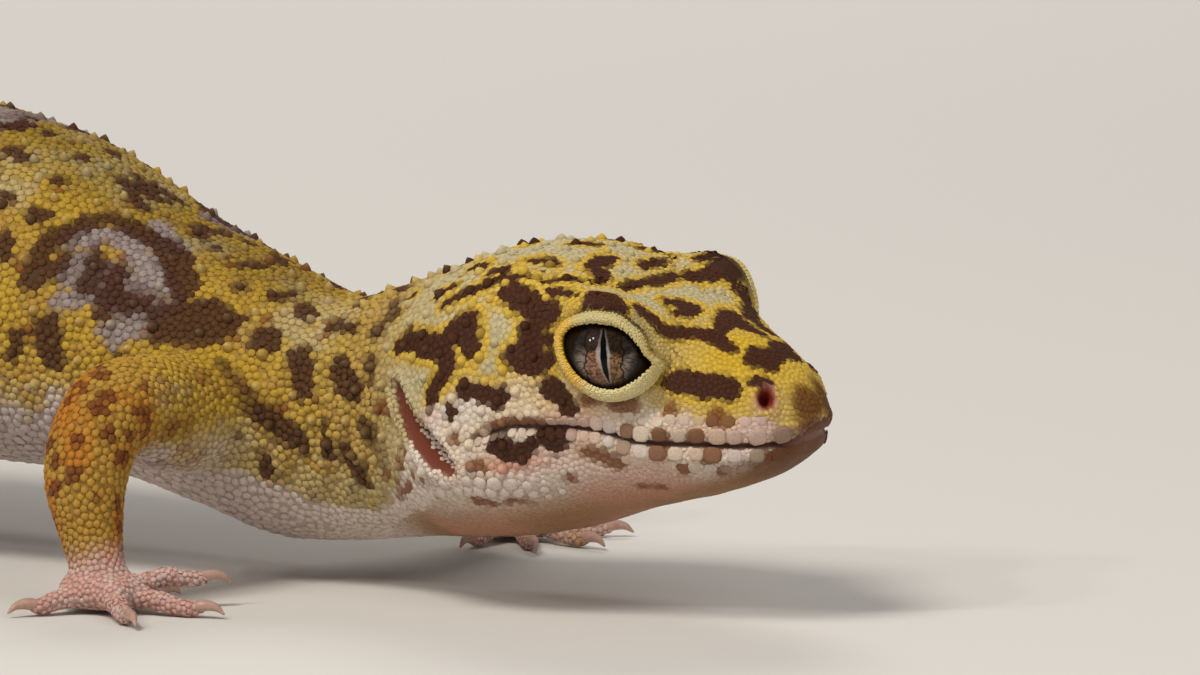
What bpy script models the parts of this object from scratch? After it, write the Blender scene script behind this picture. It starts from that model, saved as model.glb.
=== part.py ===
"""Leopard gecko (Eublepharis macularius), a still life-size model in solids.

An adult stands on four feet with its tail laid on the floor. +Z is up, the head looks
toward +X and the animal's right side is toward -Y. Sizes below are in millimetres, and
finish() turns them to metres. The body is one lofted tube along a spine curve, parted
by thin gaps into head, neck, trunk and three lengths of tail. The limbs are tubes
parted at elbow, wrist, knee and ankle.
"""

import math

import bmesh
import bpy
import numpy as np
from mathutils import Matrix, Vector

MM = 0.001
GAP = 0.3  # clearance between neighbouring solids

# Driving dimensions, in millimetres behind the snout tip unless said otherwise.
NOSE_ROUND = 5.5  # length of the elliptical nose
NOSE_LEVEL = 14.2  # height of the snout tip above the floor
HEAD_END = 30.0
NECK_END = 41.0
VENT = 119.0
TAIL_CUTS = (141.0, 170.0)
TAIL_END = 207.0
TAIL_ROUND = 4.0  # length over which the tail tip closes

HEAD_ROLL = 5.0  # degrees, right side lower
ROLL_FROM = 27.0  # the roll is whole ahead of here ...
ROLL_TO = 41.0  # ... and gone behind here
ROLL_LEVEL = 13.0  # height of the axis it turns about
ROLLED = ("head", "lower_jaw", "neck", "eye_right", "eye_left", "ear_right", "ear_left")

EYE_RADIUS = 3.3
EYE_CENTRES = {-1: (12.8, 6.15, 18.25), 1: (13.1, 5.95, 18.75)}  # right and left eyeballs
EYE_FORWARD = 12.0  # degrees that the eye looks ahead of straight out
BROW_CENTRE = (12.3, 7.6, 19.1)  # middle of the swelling that the lids stand on
BROW_SPREAD = (4.2, 3.7)
BROW_OUT = 1.75
BROW_UPS = (3.0, 3.3)  # right, left
BROW_RIDGE = (11.2, 3.6, 18.0)  # middle, half length and foot of the ridge over the eye
BROW_RISE = 3.0  # height over which the ridge comes in
CHEEK_CENTRE = (21.0, 0.0, 9.5)
CHEEK_SPREAD = (5.0, 3.0)
CHEEK_OUT = 0.5
EAR_CENTRE = (26.0, 9.9, 12.7)
EAR_PIT = (0.9, 2.3, 3.5)  # half sizes: across the slit, deep, along it
EAR_DRUM = (0.4, 0.45, 2.3)
EAR_DRUM_DEPTH = 1.1
EAR_SLANT = 38.0  # degrees that the slit's top leans back
EAR_INWARD = 12.0  # degrees that the pit turns to the rear
EYE_UPWARD = 0.06  # rise of the line of sight

# Profiles of the body: (distance behind the snout tip, value).
HALF_WIDTH = (
    (0, 3.5), (2, 4.4), (5, 5.6), (8, 6.8), (12.5, 8.2), (17, 9.7), (21, 10.7),
    (24.5, 10.5), (28, 9.1), (32, 7.6), (36, 7.4), (41, 8.5), (47, 10.3), (55, 11.7),
    (65, 13.1), (78, 14.0), (90, 13.6), (100, 12.1), (108, 10.4), (116, 7.8),
    (123, 5.5), (128, 4.8), (137, 5.9), (147, 7.0), (156, 6.9), (170, 6.0),
    (185, 4.4), (198, 2.6), (207, 1.5),
)
TOP = (
    (0, 17.7), (2, 18.1), (4.4, 18.75), (7.6, 20.1), (12.5, 22.15), (16, 23.75),
    (19.5, 24.5), (24, 24.0), (28.5, 22.5), (34.5, 20.4), (38.5, 19.4), (42, 20.2),
    (48, 22.2), (53, 24.2), (60, 28.0), (66, 29.9), (73, 31.2), (80, 31.4),
    (92, 30.2), (102, 27.0), (110, 22.0), (118, 15.6), (124, 11.4), (128, 10.4),
    (138, 11.3), (150, 12.0), (165, 10.8), (180, 8.2), (195, 5.2), (207, 2.6),
)
BOTTOM = (
    (0, 12.0), (2, 10.15), (4.4, 9.1), (8, 7.95), (12.5, 6.8), (15.5, 5.8), (18, 5.0),
    (23.5, 4.0), (30, 3.3), (38, 2.4), (42, 2.2), (48, 3.9), (55, 5.6), (65, 6.0),
    (80, 5.6), (95, 6.0), (105, 7.0), (112, 6.2), (118, 3.6), (123, 1.2), (128, -0.3),
    (207, -0.3),
)
WIDEST_LEVEL = (
    (0, 13.2), (12, 12.9), (21, 12.6), (26, 12.0), (33, 11.0), (45, 13.0), (60, 15.5),
    (80, 16.5), (105, 14.5), (118, 8.6), (128, 4.4), (150, 5.2), (180, 3.6), (207, 1.2),
)
ROUNDNESS_ABOVE = ((0, 2.2), (7, 2.5), (12, 3.0), (17, 2.7), (26, 2.3), (34, 2.1), (207, 2.1))
ROUNDNESS_BELOW = ((0, 2.8), (5, 2.6), (10, 2.4), (22, 2.3), (34, 2.1), (60, 2.3), (207, 2.2))
SPINE_HEADING = (  # degrees that the body is turned from straight behind the head
    (0, 0), (78, 0), (100, 5), (118, 10), (140, -4), (165, -26), (190, -20), (207, -6),
)
MOUTH_LINE = (  # (distance behind the snout tip, height), then down behind the jaw
    (-2, 13.2), (0, 13.1), (2, 12.7), (6, 12.6), (11, 12.9), (14, 13.4), (17.5, 13.5),
    (21, 12.5), (22.6, 10.6), (23.6, 7.5), (24.2, 1.0),
)
MOUTH_CLEARANCE = 0.3
MOUTH_STATIONS = 26
SHEET_REACH = 15.0  # half width of the sheet that parts the jaws, past both cheeks

SIDES = 24
HEAD_RINGS = (
    0.03, 0.3, 0.9, 1.8, 3.0, 4.4, 6.0, 7.8, 9.6, 11.2, 12.8, 14.4, 16.2, 18.2, 20.2,
    22.2, 24.2, 26.2, 28.2,
)
NECK_STEP = 2.9  # spacing of the rings behind the head
BODY_STEP = 4.6
TAIL_STEP = 4.4
TIP_CLEARANCE = 0.05  # the last ring stands this far short of the closed tip
EYE_FACETS = (16, 10)  # segments round, rings
PIT_FACETS = (10, 8)
DRUM_FACETS = (8, 6)
PALM_FACETS = (12, 7)
SOFT_ANGLE = 50.0  # degrees; edges sharper than this stay crisp in the shading

COLOURS = {
    "head": "#D8C58A", "lower_jaw": "#E6DCCB", "neck": "#D9B64E", "trunk": "#D8B043",
    "tail": "#CFC0B4", "leg": "#D9A347", "foot": "#D9B6A6", "claw": "#8C7262",
    "eye": "#6E5148", "ear": "#A65A4C",
}


def profile(stations, s):
    """Monotone cubic curve through the stations, so that nothing overshoots."""
    x, y = np.array(stations, dtype=float).T
    step = np.diff(x)
    slope = np.diff(y) / step
    tangent = np.zeros_like(y)
    same = slope[:-1] * slope[1:] > 0
    pair = slope[:-1] * slope[1:]
    total = np.where(same, slope[:-1] + slope[1:], 1.0)
    tangent[1:-1] = np.where(same, 2 * pair / total, 0.0)
    tangent[0] = slope[0]
    tangent[-1] = slope[-1]
    s = np.clip(np.asarray(s, dtype=float), x[0], x[-1])
    i = np.clip(np.searchsorted(x, s, side="right") - 1, 0, len(x) - 2)
    t = (s - x[i]) / step[i]
    return (
        y[i] * (1 + 2 * t) * (1 - t) ** 2
        + y[i + 1] * t**2 * (3 - 2 * t)
        + step[i] * (tangent[i] * t * (1 - t) ** 2 - tangent[i + 1] * t**2 * (1 - t))
    )


SPINE_S = np.linspace(-5.0, TAIL_END, 2000)
SPINE_ANGLE = np.radians(profile(SPINE_HEADING, SPINE_S))
SPINE_STEP = SPINE_S[1] - SPINE_S[0]
SPINE_X = -np.cumsum(np.cos(SPINE_ANGLE)) * SPINE_STEP
SPINE_Y = -np.cumsum(np.sin(SPINE_ANGLE)) * SPINE_STEP
SPINE_X -= np.interp(0.0, SPINE_S, SPINE_X)
SPINE_Y -= np.interp(0.0, SPINE_S, SPINE_Y)


def place(s, lateral, height):
    """Point at a distance behind the snout tip, out to the left of the spine, and up."""
    s, lateral, height = np.broadcast_arrays(s, lateral, height)
    angle = np.interp(s, SPINE_S, SPINE_ANGLE)
    x = np.interp(s, SPINE_S, SPINE_X) - np.sin(angle) * lateral
    y = np.interp(s, SPINE_S, SPINE_Y) + np.cos(angle) * lateral
    return np.stack([x, y, height], axis=-1)


def rounding(s):
    """1 along the body, falling to 0 on an ellipse at the nose and at the tail tip."""
    nose = np.clip(1 - s / NOSE_ROUND, 0, 1)
    tip = np.clip((s - TAIL_END + TAIL_ROUND) / TAIL_ROUND, 0, 1)
    return np.sqrt(1 - nose**2) * np.sqrt(1 - tip**2)


def swelling(s, height, centre, spread):
    """Bell-shaped factor round a point on the side of the head."""
    ds = (s - centre[0]) / spread[0]
    dz = (height - centre[2]) / spread[1]
    return np.exp(-(ds**2) - dz**2)


def body_rings(stations, extra=0.0):
    """Rings of the body tube: superellipses whose halves meet at the widest level."""
    s = np.asarray(stations, dtype=float)[:, None]
    angle = np.linspace(0, 2 * math.pi, SIDES, endpoint=False)[None, :]
    close = rounding(s)
    to_nose = np.where(s < NOSE_ROUND, close, 1)
    level = NOSE_LEVEL + (profile(WIDEST_LEVEL, s) - NOSE_LEVEL) * to_nose
    above = (profile(TOP, s) - level) * close + extra
    below = (level - profile(BOTTOM, s)) * close + extra
    width = profile(HALF_WIDTH, s) * close + extra
    upper = np.sin(angle) > 0
    power = 2 / np.where(upper, profile(ROUNDNESS_ABOVE, s), profile(ROUNDNESS_BELOW, s))
    lateral = width * np.sign(np.cos(angle)) * np.abs(np.cos(angle)) ** power
    rise = np.sign(np.sin(angle)) * np.abs(np.sin(angle)) ** power
    height = level + np.where(rise > 0, above, below) * rise
    side = np.sign(lateral) * np.clip(np.abs(np.cos(angle)) * 2, 0, 1)
    brow = swelling(s, height, BROW_CENTRE, BROW_SPREAD)
    lateral = lateral + side * BROW_OUT * brow
    along = np.exp(-(((s - BROW_RIDGE[0]) / BROW_RIDGE[1]) ** 2))
    ridge = along * np.clip((height - BROW_RIDGE[2]) / BROW_RISE, 0, 1)
    height = height + np.where(lateral > 0, *BROW_UPS[::-1]) * ridge * np.clip(np.abs(lateral) / BROW_CENTRE[1], 0, 1.1) ** 3
    lateral = lateral + side * CHEEK_OUT * swelling(s, height, CHEEK_CENTRE, CHEEK_SPREAD)
    return place(s, lateral, height)


def scalar_step(first, last, step):
    """Even stations from first to last, about one step apart."""
    count = max(2, round((last - first) / step) + 1)
    return np.linspace(first, last, count)


def roll_head(points):
    """Turn the head about the body's axis, fading out along the neck."""
    behind = -points[:, 0]
    part = np.clip((ROLL_TO - behind) / (ROLL_TO - ROLL_FROM), 0, 1)
    angle = math.radians(HEAD_ROLL) * part**2 * (3 - 2 * part)
    y = points[:, 1]
    z = points[:, 2] - ROLL_LEVEL
    rolled = points.copy()
    rolled[:, 1] = y * np.cos(angle) - z * np.sin(angle)
    rolled[:, 2] = ROLL_LEVEL + y * np.sin(angle) + z * np.cos(angle)
    return rolled


def clear_scene():
    """Start from nothing."""
    for old in list(bpy.data.objects):
        bpy.data.objects.remove(old, do_unlink=True)


def new_collection(name):
    """A collection linked under the scene."""
    collection = bpy.data.collections.new(name)
    bpy.context.scene.collection.children.link(collection)
    return collection


def principled(name, colour, roughness):
    """A plain Principled material from an sRGB hex colour."""
    material = bpy.data.materials.new(name)
    material.use_nodes = True
    shader = material.node_tree.nodes["Principled BSDF"]
    srgb = [int(colour[i : i + 2], 16) / 255 for i in (1, 3, 5)]
    linear = [c / 12.92 if c <= 0.04045 else ((c + 0.055) / 1.055) ** 2.4 for c in srgb]
    shader.inputs["Base Color"].default_value = (*linear, 1.0)
    shader.inputs["Roughness"].default_value = roughness
    shader.inputs["Metallic"].default_value = 0.0
    return material


def make_object(name, bm, collection):
    """Put a bmesh, in millimetres, into a new object."""
    mesh = bpy.data.meshes.new(name)
    bmesh.ops.recalc_face_normals(bm, faces=bm.faces)
    bm.to_mesh(mesh)
    bm.free()
    made = bpy.data.objects.new(name, mesh)
    collection.objects.link(made)
    return made


def loft(name, rings, collection):
    """Closed skin over rings of equal count, with a flat cap at each end."""
    bm = bmesh.new()
    rows = [[bm.verts.new(p) for p in ring] for ring in rings]
    for row, following in zip(rows, rows[1:]):
        for i in range(len(row)):
            j = (i + 1) % len(row)
            bm.faces.new((row[i], row[j], following[j], following[i]))
    bm.faces.new(list(reversed(rows[0])))
    bm.faces.new(rows[-1])
    return make_object(name, bm, collection)


def smooth_path(points, per_span):
    """Cardinal spline through points that carry a radius as their fourth number."""
    p = np.array(points, dtype=float)
    p = np.vstack([2 * p[0] - p[1], p, 2 * p[-1] - p[-2]])
    out = []
    for i in range(1, len(p) - 2):
        for t in np.arange(per_span) / per_span:
            before = p[i + 1] - p[i - 1]
            after = p[i + 2] - p[i]
            out.append(
                p[i] * (1 + 2 * t) * (1 - t) ** 2
                + p[i + 1] * t**2 * (3 - 2 * t)
                + 0.5 * before * t * (1 - t) ** 2
                - 0.5 * after * t**2 * (1 - t)
            )
    out.append(p[-2])
    return np.array(out)


def tube(name, points, collection, per_span=3, resolution=3):
    """Round bar along a smooth path, from a bevelled curve, as a closed mesh."""
    path = smooth_path(points, per_span)
    curve = bpy.data.curves.new(name, "CURVE")
    curve.dimensions = "3D"
    curve.bevel_depth = 1.0
    curve.bevel_resolution = resolution
    curve.use_fill_caps = True
    spline = curve.splines.new("POLY")
    spline.points.add(len(path) - 1)
    for point, (x, y, z, radius) in zip(spline.points, path):
        point.co = (x, y, z, 1.0)
        point.radius = radius
    guide = bpy.data.objects.new(name + "_path", curve)
    collection.objects.link(guide)
    bpy.context.view_layer.update()
    evaluated = guide.evaluated_get(bpy.context.evaluated_depsgraph_get())
    bm = bmesh.new()
    bm.from_mesh(bpy.data.meshes.new_from_object(evaluated))
    bmesh.ops.remove_doubles(bm, verts=bm.verts, dist=1e-4)
    bpy.data.objects.remove(guide, do_unlink=True)
    return make_object(name, bm, collection)


def ball(name, half_sizes, turn, centre, collection, facets):
    """Ellipsoid from a UV sphere, turned and then placed."""
    bm = bmesh.new()
    bmesh.ops.create_uvsphere(bm, u_segments=facets[0], v_segments=facets[1], radius=1.0)
    sizes = Matrix.Diagonal((*half_sizes, 1.0))
    bmesh.ops.transform(bm, matrix=Matrix.Translation(centre) @ turn @ sizes, verts=bm.verts)
    return make_object(name, bm, collection)


def combine(target, other, operation):
    """Boolean on the target's own mesh, and the other solid is used up."""
    modifier = target.modifiers.new("combine", "BOOLEAN")
    modifier.operation = operation
    modifier.solver = "EXACT"
    modifier.object = other
    bpy.context.view_layer.update()
    evaluated = target.evaluated_get(bpy.context.evaluated_depsgraph_get())
    mesh = bpy.data.meshes.new_from_object(evaluated)
    target.modifiers.clear()
    target.data = mesh
    bpy.data.objects.remove(other, do_unlink=True)


def keep_half(target, point, normal):
    """Cut a solid with a plane, keep the half that the normal points to, and close it."""
    bm = bmesh.new()
    bm.from_mesh(target.data)
    everything = bm.verts[:] + bm.edges[:] + bm.faces[:]
    plane = {"plane_co": Vector(point), "plane_no": Vector(normal)}
    cut = bmesh.ops.bisect_plane(bm, geom=everything, dist=1e-5, clear_inner=True, **plane)
    edges = [g for g in cut["geom_cut"] if isinstance(g, bmesh.types.BMEdge)]
    open_edges = [e for e in edges if len(e.link_faces) == 1]
    bmesh.ops.holes_fill(bm, edges=open_edges, sides=0)
    bmesh.ops.recalc_face_normals(bm, faces=bm.faces)
    bm.to_mesh(target.data)
    bm.free()


def copy_of(target, name):
    """Second object with a mesh of its own."""
    twin = bpy.data.objects.new(name, target.data.copy())
    target.users_collection[0].objects.link(twin)
    return twin


def part_along(whole, names, cuts):
    """Part a limb at planes given as (point, direction toward the far end)."""
    pieces = [copy_of(whole, name) for name in names]
    for (point, direction), near, far in zip(cuts, range(len(names)), range(1, len(names))):
        direction = np.array(direction, dtype=float)
        direction /= np.linalg.norm(direction)
        for index, piece in enumerate(pieces):
            if index <= near:
                keep_half(piece, point - direction * GAP / 2, -direction)
            if index >= far:
                keep_half(piece, point + direction * GAP / 2, direction)
    bpy.data.objects.remove(whole, do_unlink=True)
    return pieces


def split_loose(target, names):
    """Part an object's loose bodies, the highest first."""
    bm = bmesh.new()
    bm.from_mesh(target.data)
    left = set(bm.verts)
    groups = []
    while left:
        stack = [left.pop()]
        group = set(stack)
        while stack:
            for edge in stack.pop().link_edges:
                for vertex in edge.verts:
                    if vertex in left:
                        left.remove(vertex)
                        group.add(vertex)
                        stack.append(vertex)
        groups.append(sorted(v.index for v in group))
    bm.free()
    coordinates = np.array([v.co for v in target.data.vertices])
    groups.sort(key=lambda g: -coordinates[g, 2].mean())
    pieces = []
    for name, group in zip(names, groups):
        piece = copy_of(target, name)
        bm = bmesh.new()
        bm.from_mesh(piece.data)
        bm.verts.ensure_lookup_table()
        kept = set(group)
        bmesh.ops.delete(bm, geom=[v for v in bm.verts if v.index not in kept], context="VERTS")
        bm.to_mesh(piece.data)
        bm.free()
        pieces.append(piece)
    bpy.data.objects.remove(target, do_unlink=True)
    return pieces


def head_point(centre, side):
    """A point of the head given as behind the snout, lateral, height."""
    return Vector((-centre[0], side * centre[1], centre[2]))


def build_head(parts, cutters):
    """Skull with its eye sockets and ear pits, parted from the lower jaw at the mouth."""
    whole = loft("head_whole", body_rings([*HEAD_RINGS, HEAD_END - GAP / 2]), parts)
    for side in (-1, 1):
        centre = head_point(EYE_CENTRES[side], side)
        socket = ball("socket", [EYE_RADIUS + GAP] * 3, Matrix(), centre, cutters, EYE_FACETS)
        combine(whole, socket, "DIFFERENCE")
        centre = head_point(EAR_CENTRE, side)
        pit = ball("ear_pit", EAR_PIT, ear_turn(side), centre, cutters, PIT_FACETS)
        combine(whole, pit, "DIFFERENCE")
    combine(whole, mouth_sheet(cutters), "DIFFERENCE")
    return split_loose(whole, ("head", "lower_jaw"))


def ear_turn(side):
    """The slit's top leans back and its depth runs inward."""
    slant = Matrix.Rotation(math.radians(-EAR_SLANT), 4, "Y")
    return slant @ Matrix.Rotation(side * math.radians(EAR_INWARD), 4, "Z")


def mouth_sheet(cutters):
    """Thin curved sheet across the head: the mouth line, then down behind the jaw."""
    stations = np.array(MOUTH_LINE, dtype=float)
    spans = np.linalg.norm(np.diff(stations, axis=0), axis=1)
    length = np.concatenate([[0], np.cumsum(spans)])
    even = np.linspace(0, length[-1], MOUTH_STATIONS)
    behind = profile(np.column_stack([length, stations[:, 0]]), even)
    height = profile(np.column_stack([length, stations[:, 1]]), even)
    bm = bmesh.new()
    edges = (-SHEET_REACH, SHEET_REACH)
    rows = [[bm.verts.new((-b, y, h)) for b, h in zip(behind, height)] for y in edges]
    for i in range(len(even) - 1):
        bm.faces.new((rows[0][i], rows[0][i + 1], rows[1][i + 1], rows[1][i]))
    sheet = make_object("mouth_sheet", bm, cutters)
    solid = sheet.modifiers.new("thickness", "SOLIDIFY")
    solid.thickness = MOUTH_CLEARANCE
    solid.offset = 0.0
    solid.use_even_offset = True
    return sheet


def build_eye(name, side, parts):
    """Eyeball, with its poles out along the line of sight."""
    ahead = math.radians(EYE_FORWARD)
    look = Vector((math.sin(ahead), side * math.cos(ahead), EYE_UPWARD))
    turn = look.to_track_quat("Z", "Y").to_matrix().to_4x4()
    return ball(name, [EYE_RADIUS] * 3, turn, head_point(EYE_CENTRES[side], side), parts, EYE_FACETS)


def build_eardrum(name, side, parts):
    """Thin drum low in the ear pit."""
    centre = (EAR_CENTRE[0], EAR_CENTRE[1] - EAR_DRUM_DEPTH, EAR_CENTRE[2])
    return ball(name, EAR_DRUM, ear_turn(side), head_point(centre, side), parts, DRUM_FACETS)


def build_body(parts):
    """Neck, trunk and tail, each a length of the same tube; the tail lies flat."""
    lengths = [
        ("neck", HEAD_END, NECK_END, NECK_STEP),
        ("trunk", NECK_END, VENT, BODY_STEP),
        ("tail_base", VENT, TAIL_CUTS[0], TAIL_STEP),
        ("tail_middle", TAIL_CUTS[0], TAIL_CUTS[1], TAIL_STEP),
        ("tail_tip", TAIL_CUTS[1], TAIL_END, TAIL_STEP),
    ]
    pieces = []
    for name, first, last, step in lengths:
        end = last - (TIP_CLEARANCE if name == "tail_tip" else GAP / 2)
        rings = scalar_step(first + GAP / 2, end, step)
        piece = loft(name, body_rings(rings), parts)
        if name.startswith("tail"):
            keep_half(piece, (0, 0, 0), (0, 0, 1))
        pieces.append(piece)
    return pieces


# Each leg: joints as (behind the snout tip, lateral, height, radius), the toes as
# (direction in degrees outward from straight ahead, length past the palm, lift of the
# tip), the inner toe first.
FORE_TOES = ((-84, 3.4, 0), (-44, 4.4, 0), (-10, 4.9, 0), (38, 4.4, 0), (122, 2.6, 0))
RIGHT_FORE_TOES = (
    (-84, 3.4, 0), (-50, 4.6, 1.3), (-12, 4.7, 0), (38, 4.4, 0), (122, 2.5, 0),
)
HIND_TOES = ((-58, 3.9, 0), (-24, 5.4, 0), (6, 6.5, 0), (40, 6.8, 0), (104, 5.0, 0))
LEGS = {
    "right_fore": {
        "side": -1,
        "joints": (
            (46.0, 5.0, 11.8, 4.6), (45.8, 11.0, 11.9, 4.2), (45.5, 15.6, 13.0, 3.5),
            (45.4, 19.0, 12.2, 3.2), (45.4, 20.8, 8.8, 3.0), (44.6, 21.2, 4.6, 2.25),
            (43.7, 21.5, 2.0, 2.0),
        ),
        "elbow": 3, "wrist": 5, "palm": (43.3, 21.8, 1.35), "toes": RIGHT_FORE_TOES,
    },
    "left_fore": {
        "side": 1,
        "joints": (
            (45.5, 5.0, 11.8, 4.6), (45.0, 11.0, 11.9, 4.2), (44.4, 15.6, 12.8, 3.5),
            (43.6, 18.9, 12.0, 3.2), (42.5, 20.4, 8.6, 3.0), (40.9, 20.8, 4.6, 2.25),
            (40.2, 21.0, 2.0, 2.0),
        ),
        "elbow": 3, "wrist": 5, "palm": (39.8, 21.2, 1.35), "toes": FORE_TOES,
    },
    "right_hind": {
        "side": -1,
        "joints": (
            (107.0, 4.0, 13.6, 5.0), (104.5, 10.0, 14.6, 4.7), (101.2, 16.6, 15.0, 4.0),
            (100.2, 20.6, 13.4, 3.4), (103.8, 22.4, 9.4, 3.1), (108.4, 23.0, 5.0, 2.4),
            (108.2, 23.6, 2.2, 2.1),
        ),
        "elbow": 3, "wrist": 5, "palm": (106.6, 24.2, 1.4), "toes": HIND_TOES,
    },
    "left_hind": {
        "side": 1,
        "joints": (
            (107.5, 4.0, 13.6, 5.0), (107.0, 10.0, 14.4, 4.7), (106.0, 16.2, 14.6, 4.0),
            (106.4, 20.0, 13.0, 3.4), (110.6, 22.0, 9.2, 3.1), (115.6, 23.2, 5.0, 2.4),
            (116.0, 23.8, 2.2, 2.1),
        ),
        "elbow": 3, "wrist": 5, "palm": (114.6, 24.4, 1.4), "toes": HIND_TOES,
    },
}
SEGMENT_NAMES = {"fore": ("upper_arm", "forearm", "hand"), "hind": ("thigh", "shin", "foot")}
PALM_SIZE = (3.0, 2.5, 1.55)
# Along a toe: reach from the palm's centre, share of the toe's length, height, radius
# and share of the lift. The outer half lies low enough to be cut off flat on the floor.
TOE_PROFILE = (
    (0.6, 0.0, 1.35, 1.0, 0.0), (2.4, 0.0, 1.15, 1.0, 0.4), (2.4, 0.45, 0.92, 0.8, 1.0),
    (2.4, 0.8, 0.57, 0.8, 1.0), (2.4, 1.0, 0.6, 0.62, 1.0),
)
CLAW_LENGTH = 1.5
CLAW_RADIUS = 0.42
# Along a claw: share of its length, rise above the toe's end, share of its radius.
CLAW_PROFILE = ((0.0, 0.12, 1.0), (0.45, 0.2, 0.85), (0.8, 0.02, 0.55), (1.0, -0.3, 0.25))
ROOT_AHEAD = 8.0  # the body that the limbs are cut back to, ahead of the neck's end ...
ROOT_BEHIND = 2.0  # ... and behind the vent
ELBOW_CUT = (0.75, -0.65)  # outward and upward parts of the direction across the cut


def limb_points(leg):
    """The limb's joints in space, with their radii."""
    data = np.array(leg["joints"])
    return np.column_stack([place(data[:, 0], leg["side"] * data[:, 1], data[:, 2]), data[:, 3]])


def toe_path(leg, palm, direction, length, lift):
    """Toe from inside the palm: a low arch that ends flat on the floor."""
    heading = float(np.interp(leg["palm"][0], SPINE_S, SPINE_ANGLE))
    turn = heading + leg["side"] * math.radians(direction)
    out = np.array([math.cos(turn), math.sin(turn)])
    start, share, height, radius, raised = np.array(TOE_PROFILE).T
    flat = palm[:2] + (start + share * length)[:, None] * out
    return np.column_stack([flat, height + raised * lift, radius]), out


def build_leg(name, leg, parts, cutters):
    """One limb: a tube to the palm, joined with palm and toes, parted at two joints."""
    points = limb_points(leg)
    whole = tube(name + "_whole", points, parts, per_span=2)
    centre = place(leg["palm"][0], leg["side"] * leg["palm"][1], leg["palm"][2])
    heading = float(np.interp(leg["palm"][0], SPINE_S, SPINE_ANGLE))
    turn = Matrix.Rotation(heading, 4, "Z")
    combine(whole, ball("palm", PALM_SIZE, turn, centre, cutters, PALM_FACETS), "UNION")
    claws = []
    for number, (direction, length, lift) in enumerate(leg["toes"], start=1):
        path, out = toe_path(leg, centre, direction, length, lift)
        combine(whole, tube("toe", path, cutters, per_span=1, resolution=1), "UNION")
        claws.append(build_claw(f"{name}_claw_{number}", path[-1], out, parts))
    near = scalar_step(NECK_END - ROOT_AHEAD, VENT + ROOT_BEHIND, BODY_STEP)
    combine(whole, loft("near_body", body_rings(near, GAP), cutters), "DIFFERENCE")
    keep_half(whole, (0, 0, 0), (0, 0, 1))
    across = (0, leg["side"] * ELBOW_CUT[0], ELBOW_CUT[1])
    cuts = [(points[leg["elbow"], :3], across), (points[leg["wrist"], :3], (0, 0, -1))]
    side_name, end = name.split("_")
    names = [f"{side_name}_{segment}" for segment in SEGMENT_NAMES[end]]
    return part_along(whole, names, cuts) + claws


def build_claw(name, toe_tip, out, parts):
    """Small hooked claw just past the toe's flat end."""
    share, rise, thick = np.array(CLAW_PROFILE).T
    flat = toe_tip[:2] + (GAP + CLAW_LENGTH * share)[:, None] * out
    path = np.column_stack([flat, toe_tip[2] + rise, CLAW_RADIUS * thick])
    return tube(name, path, parts, per_span=1, resolution=1)


def finish(objects, root):
    """Roll the head with the neck, turn millimetres to metres, shade and colour."""
    for item in objects:
        points = np.array([v.co for v in item.data.vertices])
        if item.name in ROLLED:
            points = roll_head(points)
        item.data.vertices.foreach_set("co", (points * MM).ravel())
        item.data.update()
        item.data.shade_smooth()
        item.data.set_sharp_from_angle(angle=math.radians(SOFT_ANGLE))
        item.parent = root
        item.data.materials.clear()
        roughness = 0.25 if "eye" in item.name else 0.6
        item.data.materials.append(principled(item.name, colour_of(item.name), roughness))


def colour_of(name):
    """Base colour by the kind of part."""
    kinds = {
        "claw": "claw", "hand": "foot", "foot": "foot", "upper_arm": "leg", "forearm": "leg",
        "thigh": "leg", "shin": "leg", "tail": "tail", "eye": "eye", "ear_": "ear",
    }
    for word, kind in kinds.items():
        if word in name:
            return COLOURS[kind]
    return COLOURS[name]


def centre_on_floor(objects, root):
    """Put the middle of the whole model's footprint over the origin."""
    points = np.vstack([np.array([v.co for v in item.data.vertices]) for item in objects])
    middle = (points.min(axis=0) + points.max(axis=0)) / 2
    root.location = (-middle[0], -middle[1], 0.0)


def main():
    clear_scene()
    parts = new_collection("leopard_gecko")
    cutters = new_collection("cutters")
    root = bpy.data.objects.new("gecko_root", None)
    parts.objects.link(root)
    objects = build_head(parts, cutters)
    for side_name, side in (("right", -1), ("left", 1)):
        objects.append(build_eye("eye_" + side_name, side, parts))
        objects.append(build_eardrum("ear_" + side_name, side, parts))
    objects += build_body(parts)
    for name, leg in LEGS.items():
        objects += build_leg(name, leg, parts, cutters)
    finish(objects, root)
    centre_on_floor(objects, root)
    bpy.context.view_layer.update()


main()
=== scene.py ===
"""Leopard gecko (Eublepharis macularius), a still life-size model: its looks.

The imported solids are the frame. One hide replaces the nodes of flesh, lids are moulded
round the eyes, and a coat of separate scales lies over the hide. Eyes and claws are
pieces of their own. Lengths are millimetres until a mesh is made, measured behind the
snout tip, to the animal's left and above the floor.
"""

import math

import bpy
import numpy as np
from mathutils import Matrix, Vector
from mathutils.bvhtree import BVHTree
from mathutils.kdtree import KDTree


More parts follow.
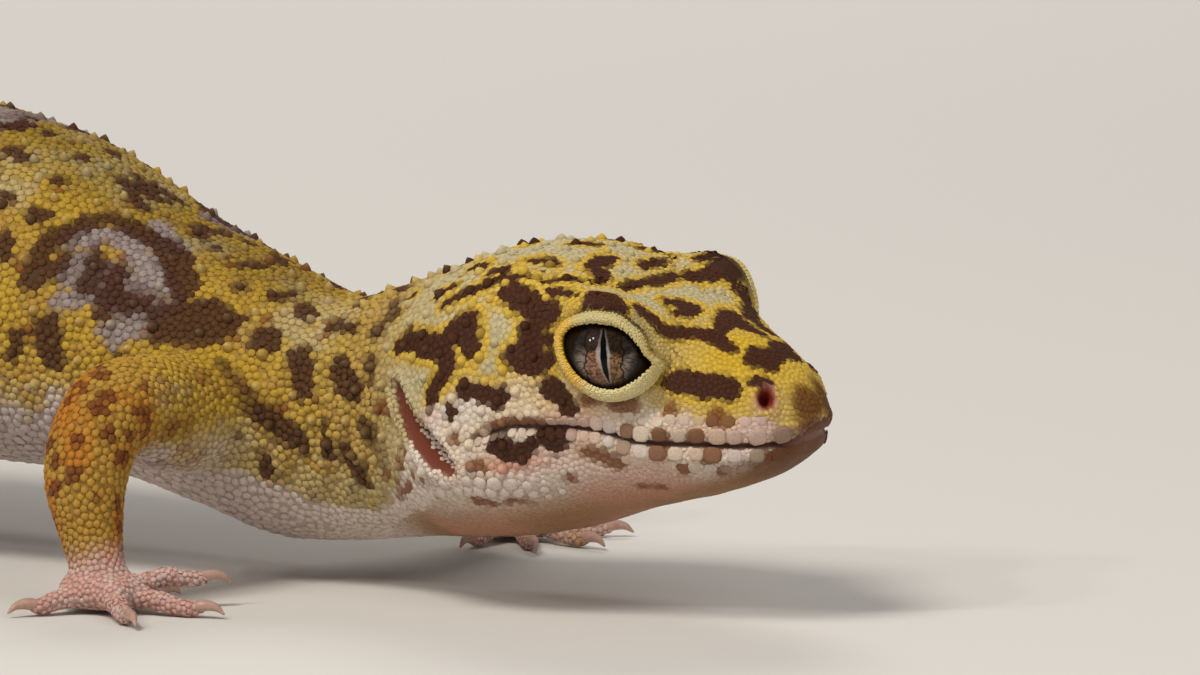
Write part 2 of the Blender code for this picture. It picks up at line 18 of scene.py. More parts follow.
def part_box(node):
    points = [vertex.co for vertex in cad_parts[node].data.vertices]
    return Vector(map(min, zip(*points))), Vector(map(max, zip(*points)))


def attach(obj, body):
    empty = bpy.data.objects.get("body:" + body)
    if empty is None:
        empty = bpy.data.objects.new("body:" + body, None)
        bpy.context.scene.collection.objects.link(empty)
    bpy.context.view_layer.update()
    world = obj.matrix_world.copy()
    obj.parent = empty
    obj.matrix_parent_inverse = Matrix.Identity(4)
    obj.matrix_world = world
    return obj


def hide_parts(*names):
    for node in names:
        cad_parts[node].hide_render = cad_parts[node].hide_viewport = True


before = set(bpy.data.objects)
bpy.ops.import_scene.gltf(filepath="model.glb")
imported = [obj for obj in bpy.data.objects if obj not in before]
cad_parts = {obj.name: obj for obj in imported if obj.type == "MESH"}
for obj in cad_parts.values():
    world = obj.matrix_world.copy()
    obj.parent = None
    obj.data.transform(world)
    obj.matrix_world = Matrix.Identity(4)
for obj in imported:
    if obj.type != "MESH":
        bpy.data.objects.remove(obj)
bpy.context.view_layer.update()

# ---- The hide --------------------------------------------------------------------------
# One unbroken hide over head, neck, trunk, limbs and tail. The body is a tube carried
# along the spine, drawn in under the coat by the coat's depth, with the folds, lips,
# nostrils, ear pits and sockets pressed into it; the limbs grow out of it.
MM = 0.001
COAT = 0.3  # the hide lies this far inside the solids
NOSE_ROUND, NOSE_LEVEL = 5.5, 14.2
TAIL_END, TAIL_ROUND = 207.0, 4.0
HEAD_ROLL, ROLL_FROM, ROLL_TO, ROLL_LEVEL = 5.0, 27.0, 41.0, 13.0
HALF_WIDTH = (
    (0, 3.5), (2, 4.4), (5, 5.6), (8, 6.8), (12.5, 8.2), (17, 9.7), (21, 10.7),
    (24.5, 10.5), (28, 9.1), (32, 7.6), (36, 7.4), (41, 8.5), (47, 10.3), (55, 11.7),
    (65, 13.1), (78, 14.0), (90, 13.6), (100, 12.1), (108, 10.4), (116, 7.8),
    (123, 5.5), (128, 4.8), (137, 5.9), (147, 7.0), (156, 6.9), (170, 6.0),
    (185, 4.4), (198, 2.6), (207, 1.5),
)
TOP = (
    (0, 17.7), (2, 18.1), (4.4, 18.75), (7.6, 20.1), (12.5, 22.15), (16, 23.75),
    (19.5, 24.5), (24, 24.0), (28.5, 22.5), (34.5, 20.4), (38.5, 19.4), (42, 20.2),
    (48, 22.2), (53, 24.2), (60, 28.0), (66, 29.9), (73, 31.2), (80, 31.4),
    (92, 30.2), (102, 27.0), (110, 22.0), (118, 15.6), (124, 11.4), (128, 10.4),
    (138, 11.3), (150, 12.0), (165, 10.8), (180, 8.2), (195, 5.2), (207, 2.6),
)
BOTTOM = (
    (0, 12.0), (2, 10.15), (4.4, 9.1), (8, 7.95), (12.5, 6.8), (15.5, 5.8), (18, 5.0),
    (23.5, 4.0), (30, 3.3), (38, 2.4), (42, 2.2), (48, 3.9), (55, 5.6), (65, 6.0),
    (80, 5.6), (95, 6.0), (105, 7.0), (112, 6.2), (118, 3.6), (123, 1.2), (128, -0.3),
    (207, -0.3),
)
LIP_LINE = (  # where the lips meet, a little above the widest line below the eye
    (0, 13.0), (0.7, 12.65), (1.5, 12.42), (3.2, 12.45), (6.4, 12.65), (9.4, 12.75), (11.2, 13.05),
    (12.5, 13.5), (14.4, 13.75), (16.1, 13.8), (18.3, 13.75), (20.0, 13.3), (21.7, 12.6),
)
WIDEST_LEVEL = (  # along the mouth ahead, at the widest part of the body behind
    (0, 13.1), (2, 12.7), (6, 12.6), (11, 12.9), (14, 13.4), (17.5, 13.5), (20.5, 12.6),
    (26, 11.9), (33, 11.0), (45, 13.0), (60, 15.5), (80, 16.5), (105, 14.5), (118, 8.6),
    (128, 4.4), (150, 5.2), (180, 3.6), (207, 1.2),
)
# Powers of the superellipse above and below the widest line.
ROUNDNESS_ABOVE = ((0, 2.2), (7, 2.5), (12, 3.0), (17, 2.7), (26, 2.3), (34, 2.1), (207, 2.1))
ROUNDNESS_BELOW = ((0, 2.8), (5, 2.6), (10, 2.4), (22, 2.3), (34, 2.1), (60, 2.3), (207, 2.2))
SPINE_HEADING = (
    (0, 0), (78, 0), (100, 5), (118, 10), (140, -4), (165, -26), (190, -20), (207, -6),
)
BROW_CENTRE, BROW_SPREAD, BROW_OUT = (12.3, 7.6, 19.1), (4.2, 3.7), 1.75
BROW_UP_RIGHT, BROW_UP_LEFT = 3.0, 3.3
BROW_RIDGE, BROW_RISE = (11.2, 3.6, 18.0), 3.0
CHEEK_CENTRE, CHEEK_SPREAD, CHEEK_OUT = (21.0, 0.0, 9.5), (5.0, 3.0), 0.5
EYE_CENTRES = {-1: (12.8, 6.15, 18.25), 1: (13.1, 5.95, 18.75)}  # right, left
EYE_RADIUS, EYE_FORWARD, EYE_UPWARD = 3.3, 12.0, 0.06


def profile(stations, s):
    """Monotone cubic curve through (distance, value) stations, so nothing overshoots."""
    x, y = np.array(stations, dtype=float).T
    step = np.diff(x)
    slope = np.diff(y) / step
    same = slope[:-1] * slope[1:] > 0
    total = np.where(same, slope[:-1] + slope[1:], 1.0)
    inner = np.where(same, 2 * slope[:-1] * slope[1:] / total, 0.0)
    tangent = np.concatenate([slope[:1], inner, slope[-1:]])
    s = np.clip(np.asarray(s, dtype=float), x[0], x[-1])
    i = np.clip(np.searchsorted(x, s, side="right") - 1, 0, len(x) - 2)
    t = (s - x[i]) / step[i]
    return (
        y[i] * (1 + 2 * t) * (1 - t) ** 2
        + y[i + 1] * t**2 * (3 - 2 * t)
        + step[i] * (tangent[i] * t * (1 - t) ** 2 - tangent[i + 1] * t**2 * (1 - t))
    )


def ease(low, high, x):
    """0 at low, 1 at high and an S-curve between; high may be the smaller."""
    t = np.clip((np.asarray(x, dtype=float) - low) / (high - low), 0, 1)
    return t * t * (3 - 2 * t)


def bell(x):
    """exp(-x^2): 1 at nought, fading out to both sides."""
    return np.exp(-(x**2))


def fold(turn):
    """The turn about the spine with the left side laid over the right: -90 to 90."""
    return np.where(turn > 90, 180 - turn, turn)


SPINE_S = np.linspace(-5.0, TAIL_END + 3, 2000)
SPINE_ANGLE = np.radians(profile(SPINE_HEADING, SPINE_S))
SPINE_X = -np.cumsum(np.cos(SPINE_ANGLE)) * (SPINE_S[1] - SPINE_S[0])
SPINE_Y = -np.cumsum(np.sin(SPINE_ANGLE)) * (SPINE_S[1] - SPINE_S[0])
SPINE_X -= np.interp(0.0, SPINE_S, SPINE_X)
SPINE_Y -= np.interp(0.0, SPINE_S, SPINE_Y)


def place(s, lateral, height):
    """Point at a distance along the spine, out to its left and above the floor."""
    s, lateral, height = np.broadcast_arrays(s, lateral, height)
    angle = np.interp(s, SPINE_S, SPINE_ANGLE)
    x = np.interp(s, SPINE_S, SPINE_X) - np.sin(angle) * lateral
    y = np.interp(s, SPINE_S, SPINE_Y) + np.cos(angle) * lateral
    return np.stack([x, y, height], axis=-1)


def roll_head(points, sense=1.0):
    """Turn about the body's axis by the head's roll, fading out along the neck."""
    angle = sense * math.radians(HEAD_ROLL) * ease(-ROLL_TO, -ROLL_FROM, points[:, 0])
    y, z = points[:, 1], points[:, 2] - ROLL_LEVEL
    turned = (y * np.cos(angle) - z * np.sin(angle), y * np.sin(angle) + z * np.cos(angle))
    return np.column_stack([points[:, 0], turned[0], ROLL_LEVEL + turned[1]])


def section(s):
    """Level of the widest line, rise above it, drop below it and half width, at s."""
    nose = np.sqrt(1 - np.clip(1 - s / NOSE_ROUND, 0, 1) ** 2)
    tip = np.sqrt(1 - np.clip((s - TAIL_END + TAIL_ROUND) / TAIL_ROUND, 0, 1) ** 2)
    close = nose * tip
    to_nose = np.where(s < NOSE_ROUND, close, 1)
    level = NOSE_LEVEL + (profile(WIDEST_LEVEL, s) - NOSE_LEVEL) * to_nose
    above = (profile(TOP, s) - level) * close - COAT * close
    below = (level - profile(BOTTOM, s)) * close - COAT * close
    width = profile(HALF_WIDTH, s) * close - COAT * close
    return level, np.maximum(above, 0.01), np.maximum(below, 0.01), np.maximum(width, 0.01)


def swell(s, height, centre, spread):
    """exp(-(ds^2 + dz^2)): a round swelling about a centre along and above the spine."""
    ds, dz = (s - centre[0]) / spread[0], (height - centre[2]) / spread[1]
    return np.exp(-(ds**2) - dz**2)


def body_surface(s, turn):
    """Superellipse halves above and below the widest line, with brows and cheeks.

    turn is in degrees: 0 on the right lip line, 90 along the back, 180 on the left.
    """
    angle = np.radians(180.0 - np.asarray(turn, dtype=float))
    level, above, below, width = section(s)
    upper = np.sin(angle) > 0
    power = 2 / np.where(upper, profile(ROUNDNESS_ABOVE, s), profile(ROUNDNESS_BELOW, s))
    lateral = width * np.sign(np.cos(angle)) * np.abs(np.cos(angle)) ** power
    rise = np.sign(np.sin(angle)) * np.abs(np.sin(angle)) ** power
    height = level + np.where(upper, above, below) * rise
    side = np.sign(lateral) * np.clip(np.abs(np.cos(angle)) * 2, 0, 1)
    bulge = swell(s, height, BROW_CENTRE, BROW_SPREAD)
    lateral = lateral + side * BROW_OUT * bulge
    ridge = bell((s - BROW_RIDGE[0]) / BROW_RIDGE[1])
    ridge = ridge * np.clip((height - BROW_RIDGE[2]) / BROW_RISE, 0, 1)
    ridge = ridge * np.clip(np.abs(lateral) / BROW_CENTRE[1], 0, 1.1) ** 3
    height = height + np.where(lateral > 0, BROW_UP_LEFT, BROW_UP_RIGHT) * ridge
    bulge = swell(s, height, CHEEK_CENTRE, CHEEK_SPREAD)
    lateral = lateral + side * CHEEK_OUT * bulge
    return place(s, lateral, height)


LATTICE = np.random.default_rng(7).random((32, 32, 32))


def noise(points, size, seed=0.0):
    """Smooth noise from 0 to 1: random values on a lattice of that size, blended."""
    p = points / size + seed * 7.31
    cell = np.floor(p).astype(int)
    t = p - cell
    t = t * t * (3 - 2 * t)
    total = 0.0
    for corner in np.ndindex(2, 2, 2):
        weight = np.prod(np.where(corner, t, 1 - t), axis=-1)
        i, j, k = np.moveaxis((cell + corner) % 32, -1, 0)
        total = total + weight * LATTICE[i, j, k]
    return total


def stray(points, size, seed=0.0):
    """The same noise from -1/2 to 1/2."""
    return noise(points, size, seed) - 0.5


def spots(points, size, seed):
    """Distance from each point to the nearest of a lattice's jittered points."""
    p = points / size + seed * 3.17
    cell = np.floor(p).astype(int)
    nearest = np.full(len(points), 9.0)
    for step in np.ndindex(3, 3, 3):
        corner = cell + np.array(step) - 1
        i, j, k = np.moveaxis(corner % 32, -1, 0)
        jitter = np.column_stack([LATTICE[i, j, k], LATTICE[j, k, i], LATTICE[k, i, j]])
        nearest = np.minimum(nearest, np.linalg.norm(corner + 0.1 + 0.8 * jitter - p, axis=1))
    return nearest * size


def to_chain(points, chain):
    """Distance from each point to a chain of balls (x, y, z, radius) joined up."""
    chain = np.asarray(chain, dtype=float)
    nearest = np.full(len(points), np.inf)
    last = max(len(chain) - 1, 1)
    for a, b in zip(chain[:last], chain[1:] if len(chain) > 1 else chain):
        run = b[:3] - a[:3]
        t = np.clip((points - a[:3]) @ run / max(run @ run, 1e-9), 0, 1)
        gap = np.linalg.norm(points - a[:3] - t[:, None] * run, axis=1)
        nearest = np.minimum(nearest, gap - (a[3] + (b[3] - a[3]) * t))
    return nearest


def on_surface(stations, side=-1):
    """Balls on the hide from (distance, turn, radius), mirrored for the left side."""
    s, turn, radius = np.array(stations, dtype=float).T
    turn = turn if side < 0 else 180.0 - turn
    return np.column_stack([body_surface(s, turn), radius])


EAR_SLIT = (
    (28.4, 18, 0.05), (27.8, 12, 0.25), (26.7, 5.5, 0.48), (25.3, 1, 0.6), (24.0, -4, 0.5),
    (23.1, -8, 0.2),
)
NOSTRIL = (2.65, 34, 0.0)
BROW_CREASE = (
    (21.5, 58, 0), (18.9, 61, 0), (17.3, 63, 0), (15.1, 65, 0), (14.1, 73, 0), (13.0, 80, 0),
    (11.5, 82, 0), (10.4, 79, 0), (9.4, 74, 0),
)


def relief(points, s, turn):
    """How far the hide stands out, in mm: folds, lips, nostrils, ears, rings, wrinkles."""
    height = points[:, 2]
    folded = fold(turn)
    out = 0.10 * stray(points, 1.1, 1) + 0.3 * stray(points, 6.0, 2) * ease(30, 50, s)
    lip = np.abs(height - profile(LIP_LINE, s))
    mouth = ease(22.0, 19.5, s) * (lip < 4)
    out -= 0.6 * mouth * bell(lip / 0.2) * ease(0.0, 2.0, s)
    out += 0.16 * mouth * bell((lip - 0.9) / 0.5)
    for side in (-1, 1):
        hole = on_surface([NOSTRIL], side)[0, :3]
        near = np.linalg.norm((points - hole) / (0.9, 0.9, 1.3), axis=1)
        out += 0.2 * bell((near - 0.85) / 0.3) - 1.3 * ease(0.6, 0.15, near)
        slit = to_chain(points, on_surface(EAR_SLIT, side))
        behind = ease(-1.5, 1.5, s - 26.0 - (height - 12.7) * 0.75)
        out += (0.2 + 0.4 * behind) * bell((slit - 0.75) / 0.5)
        out -= 1.5 * ease(0.45, -0.35, slit)
        crease = to_chain(points, on_surface(BROW_CREASE, side))
        out += 0.12 * bell((crease - 0.6) / 0.3) - 0.26 * bell(crease / 0.22)
    neck = ease(28, 32, s) * ease(46, 40, s)
    wave = np.sin((s + 0.06 * folded + 1.2 * noise(points, 5, 3)) * 2.5)
    out += 0.20 * neck * wave * ease(60, 10, np.abs(folded))
    trunk = ease(44, 52, s) * ease(124, 116, s)
    wave = np.sin((s + 3.0 * noise(points, 7, 4)) * 2.6)
    out += 0.10 * trunk * wave * ease(80, 20, np.abs(folded))
    ring_gap = np.mod((s - 121.0) / (4.6 - 0.012 * (s - 121.0)), 1.0)
    ring = np.minimum(ring_gap, 1 - ring_gap)
    out -= 0.34 * ease(121, 130, s) * ease(205, 196, s) * bell(ring / 0.09)
    return out


def eye_frame(side):
    """Eye centre, then unit directions forward, up and out of the socket."""
    ahead = math.radians(EYE_FORWARD)
    out = np.array([math.sin(ahead), side * math.cos(ahead), EYE_UPWARD])
    out /= np.linalg.norm(out)
    up = np.array([0, 0, 1.0]) - out[2] * out
    up /= np.linalg.norm(up)
    forward = np.cross(up, out)
    forward *= np.sign(forward[0])
    centre = np.array(EYE_CENTRES[side]) * (-1, side, 1)
    return centre, forward, up, out


# The lids' opening, forward and up from the eye's axis: the front corner first, then
# over the top. Measured from OPENING_MIDDLE it is one radius for each direction.
OPENING_MIDDLE = np.array([0.6, 0.5])
OPENING = np.array([
    (3.6, -0.3), (3.15, 0.35), (2.65, 1.3), (1.95, 2.08), (0.6, 2.46), (-0.7, 2.44),
    (-1.8, 2.15), (-2.45, 1.5), (-2.25, 0.6), (-1.55, -0.4), (-0.5, -1.3), (0.5, -1.82),
    (1.5, -1.86), (2.5, -1.42), (3.1, -0.88),
])
LID_WIDTH = 0.78
LID_LIFT = 0.42  # the left lids stand open this much higher
DOME_RISE, DOME_ROUND = 3.42, 3.9


def lids_middle(side):
    """Middle of the lids' opening, forward and up from the eye's axis."""
    return OPENING_MIDDLE + (0.0, LID_LIFT * (side > 0))


def lid_dome(flat):
    """Height of the dome that the lids lie on, lower toward the front corner."""
    ball = DOME_RISE - np.sum(flat**2, axis=-1) / (2 * DOME_ROUND)
    return ball - 0.09 * np.clip(flat[..., 0] - 1, 0, None) ** 2


def opening_radius(direction):
    """Radius of the lids' opening in a direction, from its smoothed outline."""
    around = np.arctan2(*(OPENING - OPENING_MIDDLE).T[::-1])
    radius = np.linalg.norm(OPENING - OPENING_MIDDLE, axis=1)
    order = np.argsort(around)
    around, radius = around[order], radius[order]
    full = np.concatenate([around - 2 * math.pi, around, around + 2 * math.pi])
    fine = np.linspace(-math.pi, math.pi, 721)
    spread = np.radians(3.0)
    offsets = np.linspace(-2, 2, 9)
    weight = np.exp(-(offsets**2) / 2)
    smooth = sum(
        w * np.interp(fine + o * spread, full, np.tile(radius, 3)) for w, o in zip(weight, offsets)
    ) / weight.sum()
    return np.interp(direction, fine, smooth)


def lid_width(direction):
    """Width of the lid's rolled rim: widest on top, narrow behind, a point in front."""
    rear = bell((np.abs(direction) - math.pi) / 0.7)
    front = bell(direction / 0.42)
    over = bell((direction - 0.75) / 0.42) * (1 - front)
    narrow = 0.03 * np.sin(direction) + 0.16 * rear + 0.66 * front + 0.3 * over
    return LID_WIDTH * (1 - narrow)


def press_socket(points, side):
    """Sink the hide behind the eyeball, and round it up to the lids' rim."""
    centre, forward, up, out = eye_frame(side)
    local = (points - centre) @ np.column_stack([forward, up, out])
    plane = local[:, :2] - lids_middle(side)
    radius = np.linalg.norm(plane, axis=1)
    direction = np.arctan2(plane[:, 1], plane[:, 0])
    rim = opening_radius(direction)
    beyond = radius - rim
    from_axis = np.sum(local[:, :2] ** 2, axis=1)
    dome = lid_dome(local[:, :2])
    deep = np.sqrt(np.maximum((EYE_RADIUS - 0.5) ** 2 - from_axis, 0.3))
    width = lid_width(direction)
    crease = dome - 0.28 * bell((beyond - width) / 0.35)
    target = deep + (crease - deep) * ease(0.15, 0.5, beyond / width)
    drop = 0.35 + 3.0 * np.maximum(ease(1.3, 0.2, beyond), ease(0.95, 0.4, np.cos(direction)))
    target = np.maximum(target, local[:, 2] - drop)
    share = ease(3.4, 0.9, beyond) * (local[:, 2] > 0.2)
    local[:, 2] += share * (target - local[:, 2])
    return centre + local @ np.column_stack([forward, up, out]).T


HIDE_COLUMNS = 152
LIP_GATHER = 0.5  # the columns gather toward the lips, where the crease must be sharp
near_nose = 6.0 * np.linspace(0.03, 1, 36) ** 2
near_tip = TAIL_END - TAIL_ROUND * np.linspace(1, 0.04, 14) ** 2
stations = np.concatenate([
    near_nose, np.linspace(6.26, 30, 90), np.linspace(30.4, 46, 34),
    np.linspace(46.6, 122, 100), np.linspace(122.8, 202.4, 86), near_tip,
])


def turn_at(s, height, side=-1):
    """The turn about the spine at which the hide's flank passes a height."""
    turns = np.linspace(-75, 80, 621)
    column = body_surface(np.asarray(s)[:, None], turns[None] if side < 0 else 180 - turns[None])
    return turns[np.argmin(np.abs(column[..., 2] - np.asarray(height)[:, None]), axis=1)]


def even_columns(stations):
    """Turns of the columns at each station: even along the girth but for the gathering.

    The first column runs along the right lips and the middle one along the left lips.
    """
    fine = np.linspace(-90, 270, 1441)
    rows = body_surface(stations[:, None], fine[None])
    step = np.linalg.norm(np.diff(rows, axis=1), axis=2)
    girth = np.concatenate([np.zeros((len(stations), 1)), np.cumsum(step, axis=1)], axis=1)
    lips = turn_at(stations, profile(LIP_LINE, stations)) * ease(24.0, 22.0, stations)
    share = np.linspace(0, 1, HIDE_COLUMNS // 2, endpoint=False)
    share = share - LIP_GATHER * np.sin(2 * math.pi * share) / (2 * math.pi)
    made = []
    for length, lip in zip(girth, lips):
        right, left = np.interp((lip, 180 - lip), fine, length)
        over = np.interp(right + (left - right) * share, length, fine)
        under = np.mod(left + (length[-1] - left + right) * share, length[-1])
        made.append(np.concatenate([over, np.interp(under, length, fine)]))
    return np.array(made)


grid_turn = even_columns(stations)
grid_s = np.repeat(stations[:, None], HIDE_COLUMNS, axis=1)
nose_inset = COAT * (1 - np.sqrt(1 - np.clip(1 - grid_s / NOSE_ROUND, 0, 1) ** 2))
body = body_surface(grid_s, grid_turn) - nose_inset[..., None] * np.array([1.0, 0, 0])


def surface_normals(grid):
    """Outward normals of a tube of points: rings by columns."""
    along = np.gradient(grid, axis=0)
    around = np.roll(grid, -1, axis=1) - np.roll(grid, 1, axis=1)
    normal = np.cross(along, around)
    normal /= np.linalg.norm(normal, axis=-1, keepdims=True) + 1e-12
    outward = np.sign(np.sum(normal * (grid - grid.mean(axis=1, keepdims=True)), axis=-1).sum())
    return normal * outward


flat = body.reshape(-1, 3)
lift = relief(flat, grid_s.ravel(), grid_turn.ravel())
lift *= ease(0.0, 0.35, grid_s.ravel())
flat = flat + surface_normals(body).reshape(-1, 3) * lift[:, None]
for side in (-1, 1):
    flat = press_socket(flat, side)
flat = roll_head(flat)
flat[:, 2] = np.maximum(flat[:, 2], 0.0)


def tube_faces(rings, columns):
    """Quads of a closed tube, with a fan to one pole point at each end."""
    i, j = np.meshgrid(np.arange(rings - 1), np.arange(columns), indexing="ij")
    k = (j + 1) % columns
    here, beyond = i * columns, (i + 1) * columns
    quads = np.stack([here + j, here + k, beyond + k, beyond + j], -1)
    j, k, end = j[0], k[0], (rings - 1) * columns
    first, last = np.full(columns, rings * columns), np.full(columns, rings * columns + 1)
    fans = [np.column_stack([k, j, first]), np.column_stack([end + j, end + k, last])]
    return quads.reshape(-1, 4), np.vstack(fans)


def with_poles(rings):
    """Points of a tube, rings by columns, and the middle of its first and last rings."""
    return np.vstack([rings.reshape(-1, 3), rings[0].mean(axis=0), rings[-1].mean(axis=0)])


def new_mesh(name, points, quads, tris):
    """A smooth closed mesh from arrays of points and four- and three-cornered faces.

    The faces are turned outwards: a . (b x c), summed over their triangles, is positive.
    """
    halves = np.vstack([quads[:, :3], quads[:, [0, 2, 3]], tris])
    a, b, c = points[halves].transpose(1, 0, 2)
    if np.einsum("ij,ij->", a, np.cross(b, c)) < 0:
        quads, tris = quads[:, ::-1], tris[:, ::-1]
    corners = np.concatenate([quads.ravel(), tris.ravel()]).astype(np.int32)
    sizes = np.concatenate([np.full(len(quads), 4), np.full(len(tris), 3)])
    starts = np.concatenate([[0], np.cumsum(sizes)[:-1]]).astype(np.int32)
    mesh = bpy.data.meshes.new(name)
    mesh.vertices.add(len(points))
    mesh.loops.add(len(corners))
    mesh.polygons.add(len(sizes))
    mesh.vertices.foreach_set("co", np.asarray(points, np.float32).ravel())
    mesh.loops.foreach_set("vertex_index", corners)
    mesh.polygons.foreach_set("loop_start", starts)
    mesh.update(calc_edges=True)
    mesh.shade_smooth()
    return mesh


def new_object(name, mesh):
    """An object for a mesh, light or camera, in the scene, at the origin."""
    made = bpy.data.objects.new(name, mesh)
    bpy.context.scene.collection.objects.link(made)
    return made


def closed_tube(name, rings):
    """Mesh of a tube of points closed at both ends."""
    return new_mesh(name, with_poles(rings), *tube_faces(*rings.shape[:2]))


def move_points(mesh, points):
    """Put a mesh's points elsewhere."""
    mesh.vertices.foreach_set("co", points.astype(np.float32).ravel())
    mesh.update()


def settled(thing):
    """The object's mesh with its modifiers applied."""
    bpy.context.view_layer.update()
    evaluated = thing.evaluated_get(bpy.context.evaluated_depsgraph_get())
    return bpy.data.meshes.new_from_object(evaluated)


# ---- The limbs -------------------------------------------------------------------------
# Four legs of flesh over bone, each a bar through its joints, a small palm and five
# slender toes. They are run together and eased into the body, so no seam shows.
FORE_TOES = ((-84, 3.4, 0), (-44, 4.4, 0), (-10, 4.9, 0), (38, 4.4, 0), (122, 2.6, 0))
RIGHT_FORE_TOES = ((-84, 3.4, 0), (-50, 4.6, 1.3), (-12, 4.7, 0), (38, 4.4, 0), (122, 2.5, 0))
HIND_TOES = ((-58, 3.9, 0), (-24, 5.4, 0), (6, 6.5, 0), (40, 6.8, 0), (104, 5.0, 0))
LEGS = {
    "right_fore": (-1, (
        (46.0, 5.0, 11.8, 4.6), (45.8, 11.0, 11.9, 4.2), (45.5, 15.6, 13.0, 3.5),
        (45.4, 19.0, 12.2, 3.2), (45.4, 20.8, 8.8, 3.0), (44.6, 21.2, 4.6, 2.25),
        (43.7, 21.5, 2.0, 2.0)), (43.3, 21.8, 1.35), RIGHT_FORE_TOES),
    "left_fore": (1, (
        (45.5, 5.0, 11.8, 4.6), (45.0, 11.0, 11.9, 4.2), (44.4, 15.6, 12.8, 3.5),
        (43.6, 18.9, 12.0, 3.2), (42.5, 20.4, 8.6, 3.0), (40.9, 20.8, 4.6, 2.25),
        (40.2, 21.0, 2.0, 2.0)), (39.8, 21.2, 1.35), FORE_TOES),
    "right_hind": (-1, (
        (107.0, 4.0, 13.6, 5.0), (104.5, 10.0, 14.6, 4.7), (101.2, 16.6, 15.0, 4.0),
        (100.2, 20.6, 13.4, 3.4), (103.8, 22.4, 9.4, 3.1), (108.4, 23.0, 5.0, 2.4),
        (108.2, 23.6, 2.2, 2.1)), (106.6, 24.2, 1.4), HIND_TOES),
    "left_hind": (1, (
        (107.5, 4.0, 13.6, 5.0), (107.0, 10.0, 14.4, 4.7), (106.0, 16.2, 14.6, 4.0),
        (106.4, 20.0, 13.0, 3.4), (110.6, 22.0, 9.2, 3.1), (115.6, 23.2, 5.0, 2.4),
        (116.0, 23.8, 2.2, 2.1)), (114.6, 24.4, 1.4), HIND_TOES),
}
# Along a toe: reach from the palm's centre, share of its length, height, radius, lift.
TOE_PROFILE = np.array((
    (0.6, 0.0, 1.3, 0.95, 0.0), (2.4, 0.0, 1.05, 0.8, 0.4), (2.4, 0.25, 0.95, 0.66, 0.8),
    (2.4, 0.45, 0.82, 0.72, 1.0), (2.4, 0.62, 0.62, 0.62, 1.0), (2.4, 0.8, 0.55, 0.66, 1.0),
    (2.4, 0.99, 0.55, 0.5, 1.0),
))


def smooth_path(points, per_span):
    """Cardinal spline through points that carry a radius as their fourth number."""
    p = np.array(points, dtype=float)
    p = np.vstack([2 * p[0] - p[1], p, 2 * p[-1] - p[-2]])
    t = (np.arange(per_span) / per_span)[None, :, None]
    a, b = p[1:-2, None], p[2:-1, None]
    before, after = b - p[:-3, None], p[3:, None] - a
    curve = (
        a * (1 + 2 * t) * (1 - t) ** 2 + b * t**2 * (3 - 2 * t)
        + 0.5 * before * t * (1 - t) ** 2 - 0.5 * after * t**2 * (1 - t)
    )
    return np.vstack([curve.reshape(-1, p.shape[1]), p[-2]])


def bar(path, around, up):
    """Round bar: circles of the path's fourth number square to it, domed at both ends."""
    centre, radius = path[:, :3], path[:, 3]
    ahead = np.gradient(centre, axis=0)
    ahead /= np.linalg.norm(ahead, axis=1, keepdims=True)
    dome = np.radians([85.0, 60.0, 35.0])
    start = centre[0] - ahead[0] * radius[0] * np.sin(dome)[:, None]
    end = centre[-1] + ahead[-1] * radius[-1] * np.sin(dome[::-1])[:, None]
    radius = np.concatenate([radius[0] * np.cos(dome), radius, radius[-1] * np.cos(dome[::-1])])
    ahead = np.vstack([ahead[[0] * 3], ahead, ahead[[-1] * 3]])
    centre = np.vstack([start, centre, end])
    side = np.cross(ahead, up)
    side /= np.linalg.norm(side, axis=1, keepdims=True)
    over = np.cross(side, ahead)
    turn = np.linspace(0, 2 * math.pi, around, endpoint=False)[None, :, None]
    return centre[:, None] + radius[:, None, None] * (
        np.cos(turn) * side[:, None] + np.sin(turn) * over[:, None]
    )


def toe_path(leg, direction, length, lift):
    """A toe from inside the palm: a low knuckled arch that ends flat on the floor."""
    side, _, palm, _ = leg
    centre = place(palm[0], side * palm[1], palm[2])
    turn = np.interp(palm[0], SPINE_S, SPINE_ANGLE) + side * math.radians(direction)
    out = np.array([math.cos(turn), math.sin(turn)])
    start, share, height, radius, raised = TOE_PROFILE.T
    flat = centre[:2] + (start + share * length)[:, None] * out
    return np.column_stack([flat, height + raised * lift, radius]), out


limb_bars = []  # every bar's dense path and whether it is a toe, kept for the coat
limb_meshes = []
for name, leg in LEGS.items():
    along, aside, height, radius = np.array(leg[1]).T
    path = smooth_path(np.column_stack([place(along, leg[0] * aside, height), radius]), 8)
    path[:, 3] -= COAT * 0.8
    limb_bars.append((path, False))
    limb_meshes.append(closed_tube(name, bar(path, 40, (1.0, 0.0, 0.0))))
    palm = place(leg[2][0], leg[0] * leg[2][1], leg[2][2])
    steps = np.linspace(-1.9, 1.9, 9)[:, None]
    pad = np.column_stack([
        palm + steps * np.array([1.0, 0.0, 0.0]), 1.25 * np.sqrt(1 - (steps[:, 0] / 3.0) ** 2),
    ])
    for shift in (-0.9, 0.0, 0.9):
        row = pad + np.array([0, shift, 0.05, 0])
        limb_meshes.append(closed_tube("palm", bar(row, 24, (0.0, 0.0, 1.0))))
    for toe in leg[3]:
        path, _ = toe_path(leg, *toe)
        path = smooth_path(path, 4)
        limb_bars.append((path, True))
        limb_meshes.append(closed_tube("toe", bar(path, 20, (0.0, 0.0, 1.0))))

